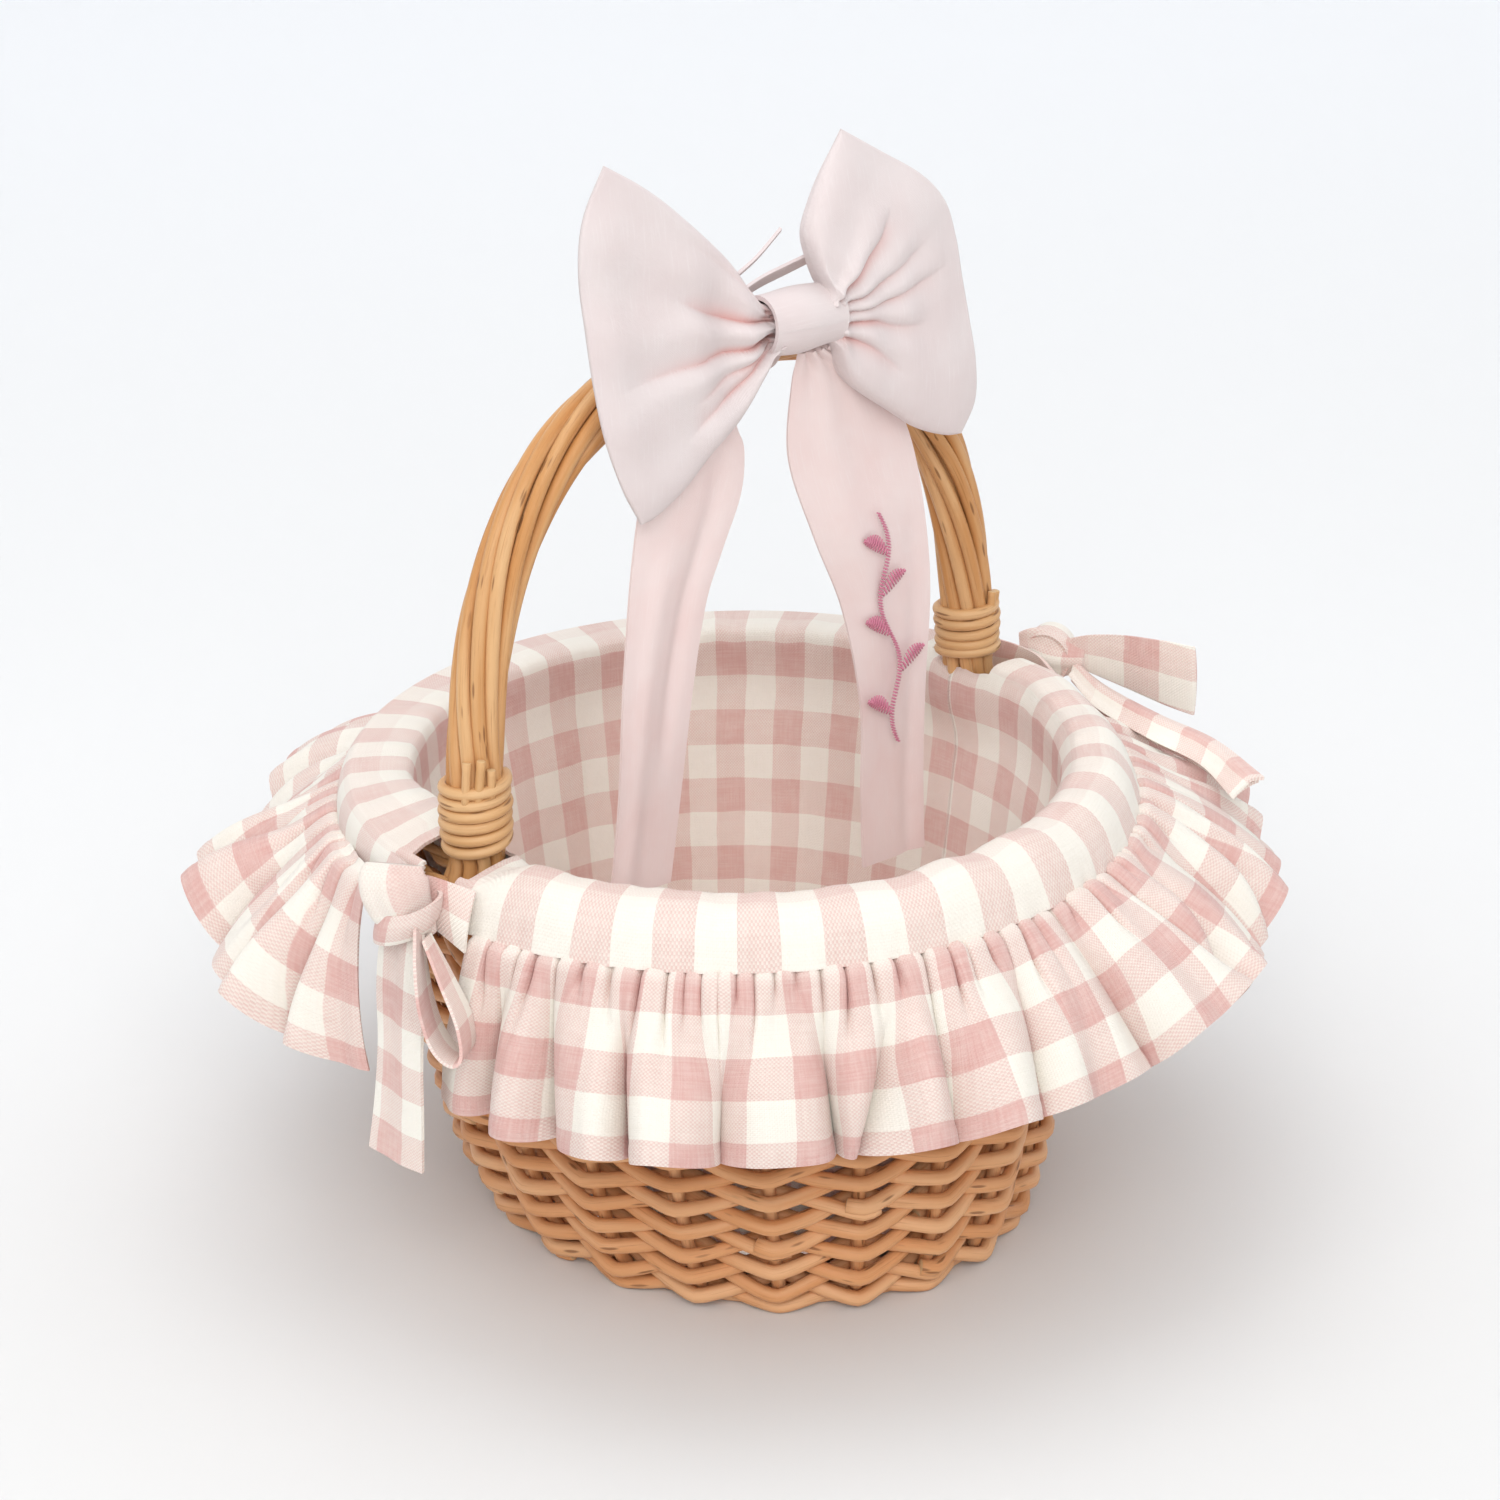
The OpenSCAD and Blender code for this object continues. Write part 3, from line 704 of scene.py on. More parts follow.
def roped_handle():
    """Nine rods roped around a core; below each binding they splay and go into the wall."""
    low = arch_start(166.0)
    t = np.linspace(0, 1, 260)
    centre = resample(arch_point(mix(low, math.pi - low, t)), 260)
    run = unit(np.gradient(centre, axis=0))
    out = np.cross(run, [0, 1, 0])
    pile = RodPile()
    for i in range(RODS):
        a = TAU * (i / RODS + 1.25 * t) + 0.06 * wander(260, 6)
        ring = np.cos(a)[:, None] * out + np.sin(a)[:, None] * np.array([0, 1, 0])
        body = centre + (ROPE_R + 0.12 * wander(260, 9))[:, None] * ring
        right_leg, left_leg = leg_down(body[0], ring[0], run[0]), leg_down(body[-1], ring[-1], -run[-1])
        path = np.vstack([right_leg[::-1], body, left_leg])
        thick = 2.5 * (1 + 0.03 * wander(300, 8))
        pile.add(resample(path, 300), thick, (0, 1, 0.3))
    pile.make("handle_rope", HONEY, "willow", "handle_rods")
    pile = RodPile()
    legs = [np.array([RIM_RX * s, 0, z]) for s in (1, -1) for z in (56, 85, 120, 150)]
    path = spline(legs[:4] + [arch_point(x) for x in np.linspace(low, math.pi - low, 25)] + legs[:3:-1], 160)
    radius = np.where(path[:, 2] < 163, 2.4, 4.9)
    in_wall = np.sign(path[:, 0]) * wall_radii(np.minimum(path[:, 2], WALL_H))[0]
    path[:, 0] = np.where(path[:, 2] < 158, in_wall, path[:, 0])
    pile.add(path, np.convolve(np.pad(radius, 3, "edge"), np.ones(7) / 7, "valid"), (0, 1, 0))
    pile.make("handle_heart", HONEY, "willow_core", "handle_core")


def leg_down(foot, ring, run):
    """The splayed end of one rod, from where it leaves the binding down into the wall."""
    outward = np.array([np.sign(foot[0]), 0, 0])
    spread = np.array([0, ring[1], 0])
    return np.array([foot - run * d + outward * o + spread * s
                     for d, o, s in ((4, 0.6, 0.6), (9, 2.4, 2.2), (15, 4.2, 4.0), (22, 5.2, 5.4))])


def binding(name, side, low, turns, slants):
    """Cane wound round the foot of the handle; slants tilt single turns."""
    a = np.linspace(0.3, TAU * turns - 0.3, 40 * turns)
    turn = a / TAU
    tilt = np.interp(turn, np.arange(len(slants)), slants)
    z = low - CANE_R + 4.05 * turn + tilt * np.cos(a - 0.6)
    centre = np.array([arch_point(arch_start(max(h, 161.0)))[0] for h in z])
    r = BIND_R + 0.25 * wander(len(a), 12)
    pile = RodPile()
    path = stack(side * centre + r * np.cos(a), r * np.sin(a), z)
    pile.add(path, 2.05 * (1 + 0.04 * wander(len(a), 10)), UP, tone=0.25)
    pile.make(name + "_cane", CANE, "willow_core", name)


def cane_ends(name, side, z, lengths):
    """Cut ends of the binding that stand up beside the handle."""
    pile = RodPile()
    at = arch_point(arch_start(z))
    for i, length in enumerate(lengths):
        a = math.radians((-60 if side > 0 else -120) + 24 * (i - (len(lengths) - 1) / 2))
        foot = np.array([side * at[0] + BIND_R * math.cos(a), BIND_R * math.sin(a), z])
        lean = np.array([0.12 * math.cos(7 * i), 0.1 * math.sin(5 * i), 1])
        pile.add([foot + lean * length * t for t in np.linspace(-0.6, 1, 6)], 1.6, [0, 1, 0], 10)
    pile.make(name + "_cut", CANE, "willow", name)


# ---- liner ----
LINER_GAP = 9.4
BAND_SECTION = [(-9.6, WALL_H), (-9.0, 164), (-5.5, 169.4), (0.5, CREST_H - 1.1), (7.0, 169.8),
                (12.6, 164.0), (15.6, 157.0), (17.2, SEAM_H)]
SLIT = math.radians(9)
REAR_END = [(3, 164), (4, 170), (7, 175.5), (11.5, 177.5), (16, 175.5), (20, 170.5), (23, 164),
            (24.4, 157.5)]
FRONT_END = [(7, 160), (8, 163.5), (9.5, 166.4), (12, 167), (14.4, 165), (16.2, 161.6), (17.2, 157),
             (17.4, 152)]


def around(a):
    """Distance along the rim at angle a, in metres: the cloth's own long coordinate."""
    fine = np.linspace(-TAU, 2 * TAU, 3000)
    speed = np.hypot((RIM_RX + 4) * np.sin(fine), (RIM_RY + 3) * np.cos(fine))
    total = np.concatenate([[0], np.cumsum((speed[1:] + speed[:-1]) / 2 * np.diff(fine))])
    return np.interp(a, fine, total - np.interp(0, fine, total)) * MM


def foot_nearness(a, width):
    """1 at the two feet of the handle, fading to 0 beside them."""
    return np.exp(-((np.sin(a) / math.sin(width)) ** 2))


def rolled_end(a):
    """1 at the left end of the rear edge, where the tie pulls the cloth up into a wide roll."""
    degrees = np.degrees(np.asarray(a))
    return smooth((degrees - 142) / 26) * (1 - smooth((degrees - 172) / 7))


def edge_point(a, off, height):
    """Point of the rolled edge, off from the rim's oval and at a height, with the swellings of its ends."""
    rise = smooth((height - 120) / 38)
    puff = rolled_end(a)
    off = off * (1 + 0.42 * puff * (off > 0)) - 5.5 * puff * hump(off, -6, 9) * rise
    off = off - 6.5 * foot_nearness(a, 0.17) * rise * (1 - smooth((off + 6) / 8))
    height = height + puff * (5.5 * smooth((height - 140) / 12))
    rx, ry = RIM_RX, RIM_RY - 1
    return stack(rx * np.cos(a), ry * np.sin(a), height) + off[..., None] * oval_normal(rx, ry, a)


def edge_end(a, fall, high, start, stop, section):
    """Draws the outer part of the rolled edge past the handle's foot between the angles start and stop."""
    degrees = np.degrees(a)
    share = smooth((degrees - start) / (stop - start))
    share = share * smooth((fall - 0.2) / 0.12) * ((degrees < 183) if start < 180 else (degrees < 270))
    off, height = flat_spline(section, fall.size).T
    flat = stack(RIM_RX * np.cos(a), (RIM_RY - 1) * np.sin(a), height)
    ends = flat + off[:, None] * oval_normal(RIM_RX, RIM_RY - 1, a)
    return mix(high, ends, share[..., None])


def seam_point(a):
    """Point of the seam between the rolled edge and the ruffle."""
    return edge_point(a, 17.2, SEAM_H)


def liner():
    """The lining and its rolled edge, one cloth: up the inside, over the rim and down to the seam.

    The edge is left out beside the feet of the handle, where the cloth only reaches a little above the rim.
    """
    columns, deep, edge_rows = 720, 56, 34
    a = full_turn(columns)[:, None]
    z = np.linspace(16, WALL_H, deep)[None, :]
    low = wall_point(z, a, bag_offset(a, z))
    section = flat_spline(BAND_SECTION, edge_rows)
    fall = np.linspace(0, 1, edge_rows)[None, :]
    swell = hump(fall, 0.5, 0.28)
    off = section[:, 0] + 0.9 * wander(columns, 30, True)[:, None] * swell
    gathers = np.sin(around(a) * 620 + 2 * wander(columns, 20, True)[:, None])
    off = off + 0.35 * gathers * smooth((fall - 0.8) / 0.2)
    puckers = 0.5 * wander(columns, 70, True)[:, None] * hump(fall, 0.28, 0.16)
    height = section[:, 1] + 0.8 * wander(columns, 24, True)[:, None] * swell + puckers
    high = edge_point(a, off, height)
    high = edge_end(a, fall, high, 168, 174, REAR_END)
    high = edge_end(a, fall, high, 193, 186, FRONT_END)
    join = smooth((z - (WALL_H - 34)) / 34)[..., None]
    low = mix(low, edge_point(a, -9.6, z) + 0 * low, join)
    grid = np.concatenate([low, high[:, 1:]], axis=1)
    down = lengths_along(grid[columns // 5]) * MM
    cloth = stack(around(a), down[-1] - down - CHECK_V)
    degrees = np.degrees(a)
    gap = (np.abs(np.sin(a)) < math.sin(SLIT)) & ((degrees < 90) | (degrees > 270))
    row = np.arange(grid.shape[1] - 1)[None, :]
    gap = gap | ((degrees > 177.3 + 5 * smooth((row - deep - 10) / 14)) & (degrees < 184.6))
    cut = (row >= deep + 6) & (row <= deep + 9) & (degrees > 173.6) & (degrees < 186.4)
    keep = ~((gap & (row >= deep + 7)) | cut)
    piece = sheet_mesh("liner_cloth", grid, cloth, 1.2, GINGHAM, loop_rows=True, keep=keep)
    settle(piece, "basket", "gingham_cloth", "liner_bag", "front_rim_band", "rear_rim_band")


def bag_offset(a, z):
    """How far in from the wall the lining hangs, with soft upright folds and one slanting crease."""
    count = a.shape[0]
    folds = (0.8 * wander(count, 26, True) + 1.0 * wander(count, 11, True))[:, None]
    slant = math.radians(157) - 0.0022 * (WALL_H - z)
    crease = 5.5 * hump(a, slant, 0.05) * smooth((WALL_H + 6 - z) / 26)
    shade = 2.2 * hump(a, slant - 0.12, 0.07) * smooth((WALL_H + 6 - z) / 40)
    return -LINER_GAP - 1.1 * hump(z, 90, 65) * np.abs(folds) - crease - shade


def bag_floor():
    """The lining's floor: a soft disc that lies on the base weaving."""
    rows, columns = 200, 40
    a = full_turn(rows)[:, None]
    r = np.linspace(0.02, 1, columns)
    ripple = 0.5 * wander(rows, 9, True)[:, None] * np.sin(math.pi * r)
    rx, ry = np.array(wall_radii(16.0)) - (9.6, 7.8)
    grid = stack(rx * np.cos(a) * r, ry * np.sin(a) * r, 16.6 + ripple + 0.6 * hump(r, 1, 0.1))
    cloth = grid[..., :2] * MM + 1
    piece = sheet_mesh("liner_floor_cloth", grid[:, ::-1], cloth[:, ::-1], 1.0, GINGHAM, loop_rows=True)
    settle(piece, "basket", "gingham_cloth", "liner_base")


class Ruffle:
    """Half of the gathered frill: small puckers at the seam that run together into deep folds."""

    fall = 61.5
    fullness = 1.5

    def __init__(self, name, start, end, leans, shifts, folds):
        self.name, self.start, self.end = name, start, end
        self.leans, self.shifts = np.array(leans), np.array(shifts)
        self.columns, self.rows = 1000, 42
        self.seam_length = lengths_along(seam_point(np.linspace(start, end, 400)))[-1]
        self.flat = self.seam_length * self.fullness
        self.s = np.linspace(0, self.flat, self.columns)
        marks = [0.0]
        while marks[-1] < self.flat:
            marks.append(marks[-1] + rng.uniform(7.5, 16))
        self.pucker_phase = np.interp(self.s, marks, TAU * np.arange(len(marks)))[:, None]
        self.pucker_size = np.interp(self.s, marks, rng.uniform(0.4, 1.5, len(marks)))[:, None]
        self.pucker_reach = np.interp(self.s, marks, rng.uniform(0.08, 0.42, len(marks)))[:, None]
        self.folds = self.lay_folds(folds)
        self.ripple = 1.6 * wander(self.columns, 45)[:, None]

    def lay_folds(self, count):
        """Deep folds at uneven places: where, depth, width, pinch, where it starts, its slant and its lie."""
        places = (np.arange(count) + 0.5 + rng.uniform(-0.34, 0.34, count)) / count * self.flat
        return [(place, rng.uniform(9, 21), rng.uniform(5.5, 11), rng.uniform(0.6, 1.05),
                 rng.uniform(-0.1, 0.3), rng.uniform(-14, 14), rng.uniform(-8, 8)) for place in places]

    def relief(self, w):
        """How far each point stands off the plain cone, and how far it is drawn along the rim."""
        narrow = (0.5 + 0.5 * np.cos(self.pucker_phase)) ** 3.5
        size = self.pucker_size * smooth((w + 0.05) / 0.1) * np.exp(-((w / self.pucker_reach) ** 2))
        height = 2.9 * size * (1 - 2 * narrow)
        along = -1.3 * size * np.sin(self.pucker_phase)
        broad = (2.4 * np.sin(self.s / self.flat * TAU * 5.3 + 1.0)[:, None] + self.ripple) * w
        for place, depth, wide, pinch, begin, slant, lie in self.folds:
            u = self.s[:, None] - place - slant * w
            grow = smooth((w - begin) / (1.05 - begin)) ** 0.8
            well = 0.55 * np.exp(-(np.abs(u / wide) ** 2.2)) + 0.45 * np.exp(-1.8 * np.abs(u / wide) ** 1.2)
            height = height - depth * grow * well
            height = height + 0.42 * depth * grow * (hump(u, 1.9 * wide, wide) + hump(u, -1.9 * wide, wide))
            along = along - pinch * u * np.exp(-((u / (1.5 * wide)) ** 2)) * smooth((w - begin + 0.15) / 0.6)
            along = along + lie * grow * well
        return height + broad, along

    def surface(self, w):
        """Grid of points; w holds each row's share of the way from the seam to the hem."""
        w = np.asarray(w, float)[None, :]
        q = self.s / self.flat
        a = mix(self.start, self.end, q)
        lean = np.radians(np.interp(q, self.leans[:, 0], self.leans[:, 1]))[:, None]
        sway = wander(self.columns, 5, source=np.random.default_rng(5))[:, None]
        lean = lean + math.radians(16) * (0.5 - w) + 0.1 * sway
        shift = np.interp(q, self.shifts[:, 0], self.shifts[:, 1])[:, None] * w
        height, along = self.relief(w)
        reach = self.fall * w - height**2 / (2 * (self.fall * w + 12))
        out = reach * np.sin(lean) + height * np.cos(lean)
        drop = reach * np.cos(lean) - height * np.sin(lean)
        seam = seam_point(a)[:, None, :]
        normal = oval_normal(RIM_RX + 17, RIM_RY + 16, a)[:, None, :]
        tangent = stack(-normal[..., 1], normal[..., 0], 0.0)
        slip = (along / self.fullness * (1 + 0.3 * w) + shift)[..., None] * tangent
        out = out - 0.6 - 1.6 * smooth(-w / 0.04)
        return seam + out[..., None] * normal + slip - stack(0.0, 0.0, drop + 0.5)

    def make(self):
        w = np.linspace(-0.05, 1, self.rows)
        cloth = stack(self.s[:, None] * MM + around(self.start), -w * self.fall * MM - CHECK_V)
        hem = smooth((w - 0.915) / 0.012)
        piece = sheet_mesh(self.name + "_cloth", self.surface(w), cloth, 0.9 + 0.7 * hem, GINGHAM)
        settle(piece, "basket", "gingham_cloth", self.name)
        self.stitches()

    def stitches(self):
        """A line of running stitches above the hem, on the outer face."""
        grid = self.surface(np.array([0.885, 0.9, 0.915]))
        normals = grid_normals(grid)
        line = resample(np.hstack([grid[:, 1], normals[:, 1]]), 4000)
        at = lengths_along(line[:, :3])
        pile = RodPile()
        for begin in np.arange(1.0, at[-1] - 3, 3.6):
            i = np.searchsorted(at, [begin, begin + 1.2, begin + 2.4])
            lift = np.array([0.45, 0.8, 0.45])[:, None]
            pile.add(line[i, :3] + line[i, 3:] * lift, [0.2, 0.32, 0.2], line[i[1], 3:], 5, tone=0.5)
        pile.make(self.name + "_stitches", STITCH, "gingham_cloth")


# ---- ties ----
def strap(name, rows, thick=1.3, count=60, material=GINGHAM, body="basket", at=(0.0, 0.0), cup=0.0,
          ripple=0.0, diagonal=0.0):
    """A flat strap; each row is a middle point, a direction across and a width. cup bows it across."""
    table = spline([[*p, *unit(c) * w] for p, c, w in rows], count)
    middle, across = table[:, :3], table[:, 3:]
    share = np.linspace(-0.5, 0.5, 15)
    normal = unit(np.cross(unit(np.gradient(middle, axis=0)), across))
    waves = np.sin(TAU * 1.5 * share) * np.linspace(ripple, 0.4 * ripple, count)[:, None]
    off = cup * (1 - 4 * share**2) + waves
    grid = middle[:, None] + share[:, None] * across[:, None] + off[..., None] * normal[:, None]
    width = np.linalg.norm(across, axis=1)
    along = lengths_along(middle) * MM
    cloth = stack(share * width[:, None] * MM + at[0], along[:, None] + at[1] + diagonal * share * MM)
    piece = sheet_mesh(name, grid, cloth, thick, material)
    settle(piece, body, "gingham_cloth" if material == GINGHAM else "ribbon_cotton")


def knot_of_cloth(node, rows, pleat_depth, at=(0.0, 0.0)):
    """A gathered knot: each row is a place from the node's middle, a side direction, and two half widths."""
    count, sides = 12 * (len(rows) - 1), 40
    knot = sum(node_box(node)) / 2
    table = spline([[*(knot + p), *unit(c), h, k] for p, c, h, k in rows], count)
    middle, side, half = table[:, :3], table[:, 3:6], table[:, 6:8]
    run = unit(np.gradient(middle, axis=0))
    u = unit(side - np.sum(side * run, 1, keepdims=True) * run)
    v = np.cross(run, u)
    a = full_turn(sides)
    fold = 1 + pleat_depth * np.sin(5 * a + 0.4 * np.sin(3 * a))
    wide, deep = half[:, :1] * np.cos(a) * fold, half[:, 1:] * np.sin(a) * fold
    verts = middle[:, None] + wide[..., None] * u[:, None] + deep[..., None] * v[:, None]
    cloth = stack(a * np.mean(half) * MM + at[0], lengths_along(middle)[:, None] * MM + at[1], 0.0)
    faces = grid_faces(count, sides, loop_cols=True, flip=True).tolist()
    faces += [list(range(sides)), list(range((count - 1) * sides, count * sides))[::-1]]
    layers = {"cloth": cloth.reshape(-1, 3)}
    piece = make_mesh(node + "_cloth", verts.reshape(-1, 3), faces, GINGHAM, layers, 70)
    settle(piece, "basket", "gingham_cloth")


def left_ties():
    """The tie at the left foot: strap, knot, a hanging tail and a standing loop."""
    strap("left_tie_strap_cloth",
          [((-138, 20, 159), (0.35, 0, 1), 18), ((-140, 10, 160), (0.3, 0, 1), 17),
           ((-143.5, 0, 162), (0.2, 0, 1), 15), ((-143, -12, 163), (0.25, 0, 1), 16),
           ((-138, -25, 158), (0.3, 0, 1), 21)], cup=1.6, diagonal=6)
    across, outward = np.array((0.755, -0.656, 0)), np.array((-0.656, -0.755, 0))
    knot_of_cloth("left_tie_knot",
                  [((-4.5, 3.5, 13), across, 9.0, 3.0), ((-6, 2.5, 8), across, 11.0, 6.0),
                   ((-5.5, 0.5, 1), across, 10.5, 7.2), ((-3.5, -2.5, -6), across, 8.2, 6.0),
                   ((-1.5, -4.5, -12), across, 5.5, 3.5)], 0.07)
    centre = sum(node_box("left_tie_knot")) / 2 + (-4.2, -1.6, -4.4)
    wrap = [(centre + 9.6 * math.cos(t) * across + 8.2 * math.sin(t) * outward + (0, 0, 2.8 * math.cos(t)),
             (0.25, -0.2, 1), 10.5) for t in np.linspace(math.radians(-25), math.radians(205), 13)]
    strap("left_tie_knot_wrap", wrap, cup=-0.9, at=(0.004, 0.003))
    strap("left_tie_tail_cloth",
          [((-152, -10, 161), (0, 1, 0), 13), ((-155.5, -11, 150), (0, 1, 0), 22),
           ((-157.5, -10, 132), (0.05, 1, 0), 25), ((-158.5, -9, 112), (0.1, 1, 0), 25.4),
           ((-159, -6.5, 90), (0.02, 1, 0.02), 25.4), ((-160, -4, 70), (-0.1, 1, 0.06), 25.4)],
          body="tie_tail", cup=-0.8, ripple=0.7, count=90, at=(0.004, 0.002))
    loop = [(-154, -18, 160), (-158.5, -24, 150), (-161, -29, 138), (-160, -33, 126), (-156, -36.5, 119.5),
            (-152, -37.5, 121), (-151, -35, 131), (-152.5, -29, 144), (-152.5, -20, 156)]
    widths = [8, 13, 16, 17, 17, 17, 16, 13, 8]
    strap("left_tie_loop_cloth", [(p, (-0.78, -0.6, 0.12), w) for p, w in zip(loop, widths)], thick=1.1,
          count=90, at=(0.003, 0.006))


def right_ties():
    """The tie at the right foot: strap, knot, a flat loop and a narrow folded tail."""
    strap("right_tie_strap_cloth",
          [((137, -25, 157), (-0.3, 0, 1), 16), ((141, -12, 160), (-0.25, 0, 1), 14),
           ((142, 0, 161), (-0.2, 0, 1), 12), ((141, 12, 160), (-0.25, 0, 1), 14),
           ((137, 25, 157), (-0.3, 0, 1), 16)], cup=-1.5, diagonal=5)
    knot_of_cloth("right_tie_knot",
                  [((-5, 10, 1), UP, 6.5, 3.5), ((-2, 5, 2), UP, 8.0, 6.0), ((0, 0, 1), UP, 8.6, 7.0),
                   ((3, -6, 0), (0, 0.2, 1), 7.0, 6.0), ((6, -12, 0), (0, 0.3, 1), 5.0, 3.0)],
                  0.08, at=(0.004, 0.01))
    knot = sum(node_box("right_tie_knot")) / 2
    wrap = [(knot + (1 + 3 * math.cos(t), 1.5 - 8.2 * math.cos(t), 9.1 * math.sin(t)), (1, 0.5, 0.1), 11)
            for t in np.linspace(math.radians(-40), math.radians(200), 11)]
    strap("right_tie_knot_wrap", wrap, cup=-0.8, at=(0.012, 0.003))
    loop = [((151, -14, 166), 8), ((157, -22, 165), 15), ((166, -32, 162), 21), ((176, -44, 157.5), 26),
            ((181.5, -51, 155), 28), ((182, -50, 154.5), 28), ((176, -41, 157), 26), ((166, -30, 161), 20),
            ((155, -18, 164), 11)]
    strap("right_tie_loop_cloth", [(p, (-0.06, -0.05, 1), w) for p, w in loop], count=100, at=(0.0, 0.004),
          cup=1.0, thick=1.1)
    across, turned = (0.8, 0.3, 0.35), (0.7, -0.2, 0.3)
    strap("right_tie_tail_cloth",
          [((151, -19, 159), across, 8), ((150.5, -34, 152.5), across, 12), ((153, -58, 147), across, 13),
           ((154, -84, 144), across, 14), ((144, -112, 142), turned, 14)], count=90, cup=2.2, ripple=0.8)
    strap("right_tie_tail_fold",
          [((151, -20, 157.4), across, 7), ((151.5, -36, 150.1), across, 10),
           ((154.5, -60, 144.6), across, 11), ((155, -84, 141.6), across, 12),
           ((146, -109, 139.8), turned, 12)], count=90, cup=1.0, at=(0.006, 0.01))


# ---- bow ----
BOW_YAW = math.radians(-5)
SWEEP = math.radians(-10)


def bow_place(points, yaw=BOW_YAW):
    """From the bow's own frame, X along the wings and Y away from the viewer, to the shared frame."""
    x, y, z = np.moveaxis(np.asarray(points, float), -1, 0)
    c, s = math.cos(yaw), math.sin(yaw)
    return stack(x * c - y * s, x * s + y * c, z) + KNOT


def coons(neck, outer, low, high, rows, cols):
    """Patch between four edge curves: neck and outer run upwards, low and high run outwards."""
    s = np.linspace(0, 1, rows)[:, None, None]
    t = np.linspace(0, 1, cols)[None, :, None]
    neck, outer = (flat_spline(edge, cols)[None] for edge in (neck, outer))
    low, high = (flat_spline(edge, rows)[:, None] for edge in (low, high))
    corners = ((1 - s) * (1 - t) * neck[:, :1] + s * (1 - t) * outer[:, :1]
               + (1 - s) * t * neck[:, -1:] + s * t * outer[:, -1:])
    return (1 - s) * neck + s * outer + (1 - t) * low + t * high - corners


def crease_relief(flat, creases):
    """Depth of fold lines on a flat patch; each crease is its line, its depth and its widths.

    One side of a crease falls sharply and the other swells, as pressed cloth does.
    """
    relief = np.zeros(flat.shape[:2])
    for line, depth, start_width, end_width in creases:
        points = flat_spline(line, 60)
        gap = flat[:, :, None, :] - points[None, None, :, :]
        distance = np.linalg.norm(gap, axis=-1)
        nearest = np.argmin(distance, axis=-1)
        q = nearest / (len(points) - 1)
        d = np.take_along_axis(distance, nearest[..., None], -1)[..., 0]
        run = unit(np.gradient(points, axis=0))[nearest]
        offset = np.take_along_axis(gap, nearest[..., None, None], 2)[:, :, 0]
        signed = np.sign(run[..., 0] * offset[..., 1] - run[..., 1] * offset[..., 0]) * d
        width = mix(start_width, end_width, q)
        steep = np.where(signed > 0, 0.4, 1.7) * width
        fade = (1 - 0.75 * q) * (1 - smooth((q - 0.7) / 0.3))
        relief -= depth * fade * np.exp(-d / steep)
        relief += 0.55 * depth * fade * hump(signed, 1.5 * width, 1.3 * width)
    return relief


def wing(name, yaw, outline, creases, bulge, lean):
    """A folded loop of the bow: two layers that meet at its edges, gathered at the neck."""
    rows, cols = 150, 170
    flat = coons(*outline, rows, cols)
    s = np.linspace(0, 1, rows)[:, None]
    b = np.linspace(-1, 1, cols)[None, :]
    edge = np.sqrt(np.clip(1 - np.abs(b) ** 10, 0, 1)) * np.sqrt(np.clip(1 - s**16, 0, 1))
    tuck = mix(0.6, 1, smooth(s / 0.13))
    belly = bulge * np.sin(math.pi * np.clip(1.02 * s, 0, 1)) ** 0.8
    pocket = tuck * (1.6 + 6.0 * np.exp(-s / 0.3) + belly) * edge
    pleats = 0.5 * np.exp(-s / 0.12) * np.cos(TAU * 4.5 * b + 1.0) * smooth(s / 0.04)
    fold = crease_relief(flat, creases)
    relief = (fold + pleats) * edge
    ripple = 0.9 * (wander(cols, 4)[None, :] * s**1.5 + wander(rows, 4)[:, None] * (1 - b**2)) * edge
    front = -(0.5 + pocket + relief + ripple)
    back = 0.5 + 0.8 * pocket - 0.5 * relief
    depth = lean * s**1.3 + 3.0 * (s**2) * np.sin(2.2 * b)
    layers = [stack(flat[..., 0], y + depth, flat[..., 1]) for y in (front, back)]
    verts = np.concatenate([bow_place(layer, yaw).reshape(-1, 3) for layer in layers])
    size = rows * cols
    faces = grid_faces(rows, cols)
    faces = np.concatenate([faces, faces[:, ::-1] + size, rim_faces(faces, size)])
    if flat[-1, cols // 2, 0] < flat[0, cols // 2, 0]:
        faces = faces[:, ::-1]
    # painted shade: how deep each point lies in a crease, kept as the cloth's third coordinate so that the
    # material paints the crease pink
    painted_crease_shade = np.clip(-fold / 3.2, 0, 1) ** 1.5 * 0.01
    cloth = np.column_stack([flat.reshape(-1, 2) * MM, painted_crease_shade.ravel()])
    piece = make_mesh(name, verts, faces, COTTON, {"cloth": np.vstack([cloth, cloth + [0.1, 0, 0]])}, 60)
    settle(piece, "bow", "ribbon_cotton")


